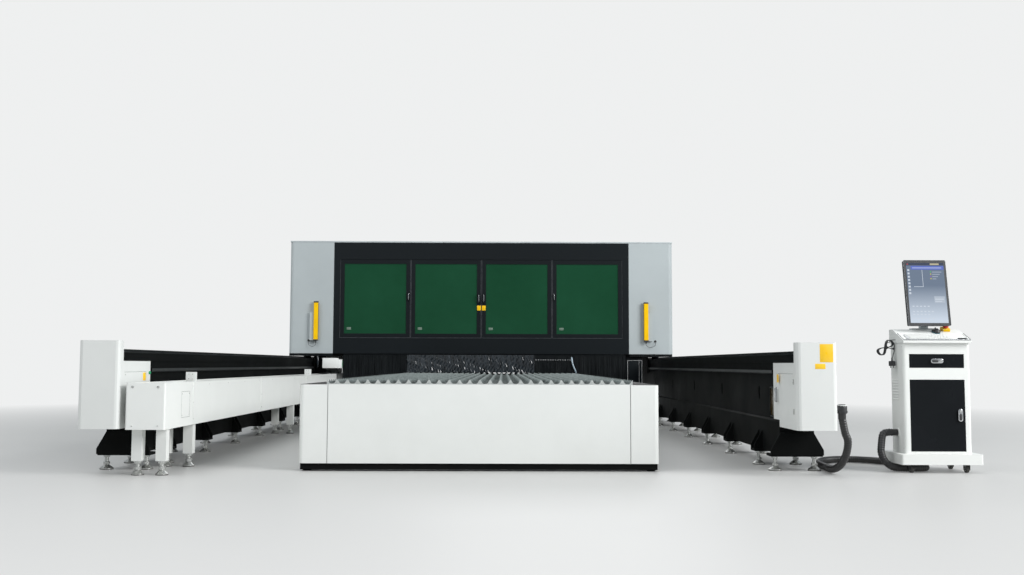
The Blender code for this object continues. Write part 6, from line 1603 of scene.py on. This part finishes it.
        lenses.piece("curtain_lenses", Rides.GANTRY, CURTAIN)
        grommets.piece("curtain_grommets", Rides.GANTRY, RUBBER)

    @staticmethod
    def lead(name: str, route: list[Point], diameter: float, body: Rides,
             finish: Finish = PLASTIC) -> None:
        """Draws a short lead that goes back into the machine.

        Args:
            name: Name of the piece.
            route: Points that it passes through.
            diameter: Its diameter.
            body: Body that it rides on.
            finish: Its finish.
        """
        line = smooth_path(route, diameter / 2)
        made = tube(name, line, diameter / 2, 3)
        carried(made, body, finish)
        log.info("piece %s: %.3f m long", name, path_length(line))

    def skirt(self) -> None:
        """Adds the front's brush strips, their rail and eyelets, a side guard and the air hose."""
        rail = Shape()
        rail.box((-2.16, 2.312, 0.958), (1.996, 2.3205, 0.979), bevel=0.002)
        for x in steps_of(-2.1, 0.14, 30):
            rail.screw((x, 2.312, 0.969), Along.Y, 0.0045, flip=True)
        rail.piece("skirt_rail", Rides.GANTRY, FRAME_BLACK)
        self.strips("skirt_strips", 2.3105, 2.3195, ((-2.186, -1.398, 0.566),
                (-1.398, -1.234, 0.67), (0.645, 1.232, 0.7045), (1.232, 1.398, 0.67),
                (1.398, 1.999, 0.566)))
        self.strips("tower_strips", 2.3, 2.3085, ((-2.972, -2.336, 0.94), (2.056, 2.69, 0.94)),
                    0.9795)
        eyelets = Shape()
        for x in steps_of(0.672, 0.036, 15):
            eyelets.turned([(0.0055, -0.001), (0.0055, 0.001), (0.004, 0.0018)],
                           (x, 2.31, 0.892), Along.Y, steps=10, flip=True)
        eyelets.piece("skirt_eyelets", Rides.GANTRY, PALE)
        guard, rim = Shape(), Shape()
        guard.box((2.002, 2.372, 0.552), (2.2575, 2.376, 0.9795), bevel=0.001)
        guard.piece("side_guard_right", Rides.GANTRY, FRAME_BLACK)
        # The steel rim is drawn in pale plastic so that it reads bright: a painted highlight.
        rim.rod([(2.034, 2.3695, 0.556), (2.034, 2.3695, 0.8885), (2.247, 2.3695, 0.8885),
                 (2.247, 2.3695, 0.556)], 0.004)
        rim.rod([(2.205, 2.3695, 0.556), (2.205, 2.3695, 0.88)], 0.002)
        rim.piece("side_guard_rim", Rides.GANTRY, PALE)
        route = [(1.2, 2.316, 0.93), (1.201, 2.304, 0.905), (1.205, 2.296, 0.872),
                 (1.213, 2.293, 0.832), (1.226, 2.293, 0.792), (1.243, 2.296, 0.755),
                 (1.256, 2.303, 0.728), (1.262, 2.316, 0.702)]
        self.lead("skirt_air_hose", route, 0.024, Rides.GANTRY, AIR_HOSE)

    @staticmethod
    def strips(name: str, near: float, far: float, spans: tuple[Point, ...],
               top: float = 0.96) -> None:
        """Hangs rows of narrow brush strips whose depth and length vary a little.

        Args:
            name: Name of the piece.
            near: Front of the foremost strip.
            far: Back of all strips.
            spans: First x, last x and lower end of each row.
            top: Their upper end.
        """
        shape = Shape()
        number = 0
        for first, last, low in spans:
            count = max(1, round((last - first) / 0.0105))
            pitch = (last - first) / count
            for k in range(count):
                number += 1
                wave = 0.5 + 0.5 * math.sin(number * GOLDEN_ANGLE + math.sin(number * 0.37) * 1.3)
                x = first + pitch * k
                depth = near + (far - near) * 0.7 * wave
                outline = [(x, far), (x + pitch * 0.2, depth), (x + pitch * 0.72, depth + 0.0006),
                           (x + pitch, far), (x + pitch, far + 0.0008), (x, far + 0.0008)]
                shape.slab(outline, Along.Z, low + 0.004 * wave, top)
        shape.piece(name, Rides.GANTRY, CURTAIN)

    def film(self) -> None:
        """Hangs the creased sheet of film over the middle of the skirt."""
        low, high, bottom, top = -1.232, 0.645, 0.703, 0.962
        part = bmesh.new()
        bmesh.ops.create_grid(part, x_segments=1000, y_segments=28, size=0.5)
        for vert in part.verts:
            u, v = vert.co.x + 0.5, vert.co.y + 0.5
            x = low + (high - low) * u
            drop = 1.0 - v
            sway = 0.9 * math.sin(7.0 * v + 21.0 * u) + 0.5 * math.sin(17.0 * v + 47.0 * u)
            fold = math.asin(math.sin(264.0 * u + 1.6 * sway
                                      + 1.5 * math.sin(19.0 * u))) / (math.pi / 2)
            crease = math.sin(640.0 * u + 2.2 * sway + 3.0 * v)
            swell = math.sin(97.0 * u + 0.8 * sway)
            swing = fold * 0.003 + crease * 0.0008 + swell * 0.0018
            vert.co = (x, 2.3062 + swing * (0.45 + 0.55 * drop), bottom + (top - bottom) * v)
        mesh = bpy.data.meshes.new("skirt_film")
        bmesh.ops.recalc_face_normals(part, faces=part.faces)
        area = sum(face.calc_area() for face in part.faces)
        part.to_mesh(mesh)
        part.free()
        for polygon in mesh.polygons:
            polygon.use_smooth = True
        made = placed("skirt_film", mesh)
        carried(made, Rides.GANTRY, FILM)
        log.info("piece skirt_film: %.4f square metres", area)

    def rear(self) -> None:
        """Adds panel joints, louvres, screws, handles and brush strips on the cabin's back."""
        seams, screws, vents, handles = Shape(), Shape(), Shape(), Shape()
        columns = [self.back_left + self.back_width * k / self.panels
                   for k in range(self.panels + 1)]
        for x in columns[1:-1]:
            seams.box((x - 0.0012, self.back - 0.0004, 0.995),
                      (x + 0.0012, self.back + 0.0006, 2.615))
        seams.box((-2.32, self.back - 0.0004, 0.9935), (2.04, self.back + 0.0006, 0.996))
        for low, high in zip(columns, columns[1:]):
            for x in (low + 0.035, high - 0.035):
                for z in (1.03, 1.55, 2.07, 2.59):
                    screws.screw((x, self.back, z), Along.Y, 0.006)
        for low, high in (columns[0:2], columns[2:4], columns[4:6]):
            x0, x1 = (low + high) / 2 - 0.28, (low + high) / 2 + 0.28
            for z in steps_of(2.16, 0.026, 14):
                space = Matrix.Translation((0, self.back + 0.004,
                        z)) @ Matrix.Rotation(math.radians(-32), 4, "X")
                vents.tilted(space, (x0, -0.007, -0.0014), (x1, 0.009, 0.0014), 0.0008)
            for a, b in bars_round((x0 - 0.012, 2.137), (x1 + 0.012, 2.525), 0.01):
                vents.box((a[0], self.back - 0.001, a[1]), (b[0], self.back + 0.01, b[1]),
                          bevel=0.002)
        for x in (columns[1] - 0.1, columns[4] + 0.1):
            handles.rod([(x, self.back, 1.62), (x, self.back + 0.035, 1.625),
                         (x, self.back + 0.04, 1.64), (x, self.back + 0.04, 1.76),
                         (x, self.back + 0.035, 1.775), (x, self.back, 1.78)], 0.006)
        self.strips("rear_strips", 4.4785, 4.4865, ((-2.32, -1.398, 0.566), (-1.398, -1.234, 0.67),
                (-1.234, 1.234, 0.7045), (1.234, 1.398, 0.67), (1.398, 2.04, 0.566)))
        seams.piece("rear_seams", Rides.GANTRY, SEAM)
        screws.piece("rear_screws", Rides.GANTRY, BRIGHT)
        vents.piece("rear_louvres", Rides.GANTRY, GREY)
        handles.piece("rear_handles", Rides.GANTRY, PLASTIC)

    def build(self) -> None:
        """Builds the cabin's trim."""
        self.carriage_box()
        self.curtains()
        self.roof()
        self.gaskets()
        self.pulls()
        self.hinges()
        self.skirt()
        self.film()
        self.rear()


# ---------------------------------------------------------------- the console
@dataclass
class ConsoleTrim:
    """Handles, keys, mouse, stop button, lead, display, vents and casters of the console."""

    slope: float = 0.38050637711236485
    tilt: float = math.radians(9.0)
    foot: Point = (3.55, -4.925, 1.14)
    desk: Point = (3.55, -5.06, 1.0183)
    left: float = 3.29
    right: float = 3.81
    back: float = -4.7575
    vent_start: float = -4.925
    vent_end: float = -4.805
    wheel_height: float = 0.03
    lead_radius: float = 0.003
    lead_start: float = -4.838
    hank_middle: Flat = (3.214, 0.966)
    hank_reach: Flat = (0.07, 0.0275)
    hank_turns: int = 4
    hank_pitch: float = 0.0145
    hank_steps: int = 20

    def desk_space(self, across: float, along: float) -> Matrix:
        """Space that stands on the sloping desk.

        Args:
            across: Place to the right of the desk's middle.
            along: Place up the slope from its front.

        Returns:
            The space.
        """
        x, y, z = self.desk
        return (Matrix.Translation((x + across, y + along * math.cos(self.slope),
                z + along * math.sin(self.slope))) @ Matrix.Rotation(self.slope, 4, "X"))

    def handle(self, name: str, centre: Point, upright: bool, body: Rides) -> None:
        """Covers an oval pull with its bright plate, grip recess and lock.

        Args:
            name: Name of the piece.
            centre: Middle of the plate on the panel's face.
            upright: Whether its long side stands up.
            body: Body that it rides on.
        """
        x, y, z = centre
        long, wide = (0.0985 / 2, 0.0365 / 2)
        a, b = (wide, long) if upright else (long, wide)
        Shape().slab(rounded((x - a, z - b), (x + a, z + b), wide * 0.98, 8), Along.Y, y - 0.0068,
                     y - 0.0002, bevel=0.002).piece(f"{name}_plate", body, STEEL)
        dark = Shape()
        shift = long * 0.3
        px, pz = (x, z - shift) if upright else (x - shift, z)
        c, d = (wide * 0.62, long * 0.52) if upright else (long * 0.52, wide * 0.62)
        dark.slab(rounded((px - c, pz - d), (px + c, pz + d), wide * 0.6, 6), Along.Y, y - 0.0074,
                  y - 0.0066, bevel=0.0003)
        dark.piece(f"{name}_recess", body, PLASTIC)
        lock = Shape()
        lx, lz = (x, z + long * 0.58) if upright else (x + long * 0.58, z)
        lock.turned([(0.0085, 0), (0.0085, 0.0022), (0.007, 0.0034)], (lx, y - 0.0066, lz), Along.Y,
                    steps=20, flip=True)
        lock.box((lx - 0.0008, y - 0.0106, lz - 0.004), (lx + 0.0008, y - 0.0098, lz + 0.004))
        lock.piece(f"{name}_lock", body, BRIGHT)

    def hank(self) -> None:
        """Hangs the console's mains lead, wound in a figure of eight, on the left side."""
        radius, middle, near = self.lead_radius, self.hank_middle, self.lead_start
        route: list[Point] = [(3.2895, near, 0.957), (3.268, near, 0.959), (3.246, near, 0.963)]
        turns, per = self.hank_turns, self.hank_steps
        for k in range(per // 4, turns * per + 1):
            angle = math.tau * k / per
            size = 1.0 - 0.006 * k / per
            along = self.hank_reach[0] * size * math.cos(angle)
            across = -self.hank_reach[1] * size * math.sin(2 * angle)
            x = middle[0] + (along - across) * math.cos(math.pi / 4)
            z = middle[1] + (along + across) * math.sin(math.pi / 4)
            route.append((x, near - self.hank_pitch * (k / per - 0.25), z))
        y = near - self.hank_pitch * (turns - 0.25)
        route += [(3.2735, y, 0.993), (3.2765, y, 0.966), (3.273, y, 0.935), (3.264, y, 0.906),
                  (3.256, y, 0.882)]
        line = smooth_path(route, radius * 1.2)
        made = tube("console_lead", line, radius, 2)
        carried(made, Rides.BASE, PLASTIC)
        plug = Shape()
        x = 3.2545
        plug.turned([(0.0042, 0.003), (0.0062, -0.02), (0.0085, -0.024)], (x, y, 0.882), steps=16)
        plug.slab(rounded((x - 0.022, y - 0.02), (x + 0.022, y + 0.02), 0.008), Along.Z, 0.82, 0.86,
                  bevel=0.004)
        for side in (-0.011, 0.011):
            plug.box((x + side - 0.0032, y - 0.0015, 0.804),
                     (x + side + 0.0032, y + 0.0015, 0.8205), bevel=0.0005)
        held = plug.piece("console_plug", Rides.BASE, PLASTIC)
        hook = Shape()
        hook.rod([(3.29, -4.8935, 1.026), (3.27, -4.8935, 1.0265), (3.256, -4.8935, 1.025),
                  (3.248, -4.88, 1.015), (3.245, -4.86, 1.006), (3.244, -4.83, 1.004)], 0.0026)
        hook.ring([(0.0105, -0.006), (0.013, -0.006), (0.013, 0.006), (0.0105, 0.006)],
                  (3.2225, -4.866, 0.966), Along.X, steps=20)
        hook.turned([(0.01, 0), (0.009, 0.004), (0.006, 0.01)], (3.2903, near, 0.957), Along.X,
                    steps=16, flip=True)
        hook.piece("lead_hook", Rides.BASE, PLASTIC)
        log.info("piece console_lead: %.3f m long", path_length(line))

    def keys(self) -> None:
        """Replaces the plain keyboard with a low base and separate key caps."""
        shape, caps = Shape(self.desk_space(-0.045, 0.071)), Shape(self.desk_space(-0.045, 0.071))
        shape.slab(rounded((-0.1775, -0.055), (0.1775, 0.055), 0.008), Along.Z, 0.0008, 0.0068,
                   bevel=0.0015)
        rows = ((15, 0.0), (15, 0.006), (14, 0.01), (13, 0.016))
        for row, (count, inset) in enumerate(rows):
            width = (0.342 - 2 * inset) / count
            y = 0.041 - row * 0.0215
            for k in range(count):
                x = -0.171 + inset + width * k
                caps.box((x + 0.0012, y - 0.009, 0.0066), (x + width - 0.0012, y + 0.009, 0.0106),
                         bevel=0.0016)
        for low, high in ((-0.171, -0.105), (-0.101, 0.06), (0.064, 0.171)):
            caps.box((low + 0.001, -0.053, 0.0066), (high - 0.001, -0.037, 0.0106), bevel=0.0016)
        shape.piece("keyboard_base", Rides.BASE, PALE, ("keyboard",))
        caps.piece("keyboard_keys", Rides.BASE, FACE)

    def mouse(self) -> None:
        """Replaces the plain mouse with a domed one."""
        space = self.desk_space(0.06, 0.185)
        part = bmesh.new()
        bmesh.ops.create_uvsphere(part, u_segments=28, v_segments=16, radius=1.0)
        for vert in part.verts:
            x, y, z = vert.co
            z = max(z, -0.12)
            pinch = 1.0 - 0.12 * math.exp(-((y - 0.1) / 0.35) ** 2)
            vert.co = (x * 0.03 * pinch, y * 0.0425, 0.0052 + z * 0.0275 * (1.0 - 0.14 * y))
        bmesh.ops.remove_doubles(part, verts=part.verts, dist=MERGE_DISTANCE)
        Shape(space).take(part).piece("mouse_body", Rides.BASE, PLASTIC, ("mouse",))
        Shape(space).slab([(0.0308 * math.cos(math.tau * k / 28),
                            0.043 * math.sin(math.tau * k / 28)) for k in range(28)], Along.Z,
                          0.0006, 0.006, bevel=0.001).piece("mouse_edge", Rides.BASE, TEAL)
        Shape(space).turned([(0.007, -0.003), (0.0078, -0.0015), (0.0078, 0.0015), (0.007, 0.003)],
                            (0.0, 0.02, 0.0265), Along.X, steps=18).piece("mouse_wheel", Rides.BASE,
                RUBBER)

    def stop_button(self) -> None:
        """Puts the yellow housing over the stop button's box and a domed red head on its stem."""
        space = self.desk_space(0.15, 0.228)
        box = Shape(space)
        box.slab(rounded((-0.0308, -0.0308), (0.0308, 0.0308), 0.006), Along.Z, 0.0004, 0.02215,
                 bevel=0.002)
        box.ring([(0.0217, 0.0218), (0.0245, 0.0218), (0.0238, 0.0244), (0.0222, 0.0244)],
                 (0, 0, 0))
        box.piece("stop_housing", Rides.BASE, YELLOW)
        Shape(space).turned([(0.0201, 0.0284), (0.0207, 0.03), (0.0207, 0.036), (0.019, 0.0405),
                             (0.013, 0.0422), (0, 0.0428)], (0, 0, 0), steps=32).piece("stop_head",
                Rides.STOP, RED)

    def tray(self) -> None:
        """Adds the clear tray's bright rails along the desk's front and sides."""
        space = self.desk_space(0.0, 0.0)
        rails = Shape(space)
        rails.rod([(-0.262, 0.004, 0.006), (0.262, 0.004, 0.006)], 0.004)
        rails.rod([(-0.261, 0.006, 0.006), (-0.261, 0.15, 0.006)], 0.0026)
        rails.rod([(0.261, 0.006, 0.006), (0.261, 0.15, 0.006)], 0.0026)
        rails.piece("tray_rails", Rides.BASE, STEEL)
        Shape(self.desk_space(0.205, 0.03)).slab(rounded((-0.034, -0.011), (0.034, 0.011), 0.005),
                Along.Z, 0.0006, 0.0085, bevel=0.002).piece("tray_clip", Rides.BASE, PLASTIC)

    def display(self) -> None:
        """Adds the monitor's lit face, silver frame, back vents and mount cover."""
        space = Matrix.Translation(self.foot) @ Matrix.Rotation(-self.tilt, 4, "X")
        Shape(space).slab(rounded((-0.15, 0.02), (0.15, 0.51), 0.003), Along.Y, -0.0012,
                          0.0004).piece("display_face", Rides.MONITOR, SCREEN)
        rim = Shape(space)
        outer = rounded((-0.168, -0.0005), (0.168, 0.5305), 0.0085, 5)
        for a, b in zip(outer, outer[1:] + outer[:1]):
            if math.dist(a, b) > MERGE_DISTANCE:
                rim.rod([(a[0], -0.0004, a[1]), (b[0], -0.0004, b[1])], 0.0016, 2)
        rim.piece("display_frame", Rides.MONITOR, BEZEL)
        back = Shape(space)
        for z in steps_of(0.4, 0.009, 9):
            back.box((-0.11, 0.0316, z), (0.11, 0.033, z + 0.0035), bevel=0.0005)
        back.slab(rounded((-0.06, 0.09), (0.06, 0.17), 0.008), Along.Y, 0.0316, 0.04, bevel=0.002)
        back.piece("display_back", Rides.MONITOR, PLASTIC)

    def vents(self) -> None:
        """Adds the body's louvres, rear panel and screws."""
        vents, screws, plate = Shape(), Shape(), Shape()
        for side, face in ((-1, self.left), (1, self.right)):
            for z in steps_of(0.56, 0.022, 8):
                space = (Matrix.Translation((face + side * 0.0025, 0, z))
                         @ Matrix.Rotation(math.radians(side * 28), 4, "Y"))
                vents.tilted(space, (-0.0035, self.vent_start, -0.001),
                             (0.0035, self.vent_end, 0.001), 0.0006)
            for y in (-5.005, -4.785):
                for z in (0.185, 0.97):
                    screws.screw((face, y, z), Along.X, 0.0045, flip=side < 0)
        plate.box((3.33, self.back - 0.003, 0.18), (3.77, self.back, 0.96), bevel=0.001)
        for x in (3.345, 3.755):
            for z in (0.195, 0.57, 0.945):
                screws.screw((x, self.back, z), Along.Y, 0.0045)
        for z in steps_of(0.78, 0.014, 10):
            vents.box((3.43, -4.7578, z), (3.67, -4.755, z + 0.005), bevel=0.0008)
        vents.piece("console_louvres", Rides.BASE, WHITE)
        screws.piece("console_screws", Rides.BASE, BRIGHT)
        plate.piece("console_rear_plate", Rides.BASE, WHITE)

    def casters(self) -> None:
        """Adds a tread, hub caps and an axle bolt to each caster."""
        for place, x, y in (("front_left", 3.3365, -5.022), ("front_right", 3.7635, -5.022),
                            ("rear_left", 3.3365, -4.732), ("rear_right", 3.7635, -4.732)):
            Shape().ring([(0.024, -0.0114), (0.029, -0.0108), (0.03, -0.006), (0.03, 0.006),
                          (0.029, 0.0108), (0.024, 0.0114)], (x, y, self.wheel_height), Along.X,
                         steps=36).piece(f"tread_{place}", f"wheel_{place}", RUBBER)
            hub = Shape()
            for sign in (-1, 1):
                hub.turned([(0.015, 0), (0.0135, 0.0012), (0.006, 0.0016)],
                           (x + sign * 0.0108, y, self.wheel_height), Along.X, steps=20,
                           flip=sign < 0)
            hub.piece(f"hub_{place}", f"wheel_{place}", BRIGHT)
            bolt = Shape()
            for sign in (-1, 1):
                bolt.hexagon((x + sign * 0.018 - (0.003 if sign < 0 else 0.0), y,
                              self.wheel_height), 0.011, 0.003, Along.X)
            bolt.piece(f"axle_{place}", f"fork_{place}", BRIGHT)

    def build(self) -> None:
        """Builds the console's trim."""
        self.handle("door_handle", (3.722, -5.036, 0.442), True, Rides.CABINET_DOOR)
        self.handle("drawer_handle", (3.55, -5.036, 0.86), False, Rides.DRAWER)
        self.hank()
        self.keys()
        self.mouse()
        self.stop_button()
        self.tray()
        self.display()
        self.vents()
        self.casters()


# ------------------------------------------------------- head and carriages
@dataclass
class HeadTrim:
    """Nozzle, collars, covers and motor of the cutting head, and the cross rail's bright faces."""

    middle: float = 3.2144
    face: float = 3.1544

    def build(self) -> None:
        """Builds the details of the head, its carriage and the cross rail."""
        x, y = 0.0, self.middle
        Shape().turned([(0.0085, 0.8005), (0.0095, 0.806), (0.0165, 0.834), (0.0165, 0.846),
                        (0.024, 0.85), (0.024, 0.858)], (x, y, 0), steps=28).piece("nozzle",
                Rides.HEAD, COPPER)
        collar = Shape()
        for z in (0.945, 0.985, 1.03):
            collar.ring([(0.044, z), (0.047, z + 0.001), (0.047, z + 0.007), (0.044, z + 0.008)],
                        (x, y, 0))
        collar.ring([(0.036, 1.5598), (0.042, 1.5598), (0.042, 1.575), (0.036, 1.575)], (x, y, 0))
        for z in (1.6, 1.64):
            collar.ring([(0.0385, z), (0.0412, z + 0.001), (0.0412, z + 0.009), (0.0385, z + 0.01)],
                        (x, y, 0))
        collar.piece("head_collars", Rides.HEAD, STEEL)
        cover = Shape()
        cover.box((-0.074, self.face - 0.004, 1.1), (0.074, self.face + 0.001, 1.3), bevel=0.003)
        cover.box((-0.074, self.face - 0.004, 1.315), (0.074, self.face + 0.001, 1.52), bevel=0.003)
        cover.box((-0.05, self.face - 0.012, 1.12), (0.05, self.face - 0.003, 1.16), bevel=0.003)
        cover.piece("head_covers", Rides.HEAD, GREY)
        screws = Shape()
        for sx in (-0.064, 0.064):
            for z in (1.112, 1.288, 1.327, 1.508):
                screws.screw((sx, self.face - 0.004, z), Along.Y, 0.005, flip=True)
        screws.piece("head_screws", Rides.HEAD, STEEL)
        Shape().box((-0.046, 3.2765, 1.65), (0.046, 3.368, 1.76), bevel=0.006).piece("lift_motor",
                Rides.CARRIAGE, PLASTIC)
        rails = Shape()
        for z in (1.285, 1.495):
            rails.box((-2.25, 3.333, z - 0.009), (2.25, 3.3353, z + 0.009), bevel=0.001)
        rails.piece("cross_rail_faces", Rides.GANTRY, STEEL)


# ------------------------------------------------------------- carried frame
@dataclass
class FrameDress:
    """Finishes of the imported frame's own nodes."""

    def build(self) -> None:
        """Puts the finish of its record slot, or its own, on each node."""
        slots = {part["node"]: part["material_slot"] for part in frame["record"]["subparts"]}
        for name, node in frame["nodes"].items():
            finish = NODE_FINISH.get(name, SLOT_FINISH[slots[name]])
            node.data.materials.clear()
            node.data.materials.append(finish.material())
        log.info("finishes on %d nodes", len(frame["nodes"]))


def main() -> None:
    """Builds the dressed machine from camera to trim."""
    Studio().build()
    SupplyHose().build()
    FrameDress().build()
    SlatTable().build()
    LevellingFeet().build()
    BeamFittings().build()
    ChainLinks().build()
    CoverTrim().build()
    TroughTrim().build()
    CabinTrim().build()
    ConsoleTrim().build()
    HeadTrim().build()


if __name__ == "__main__":
    main()
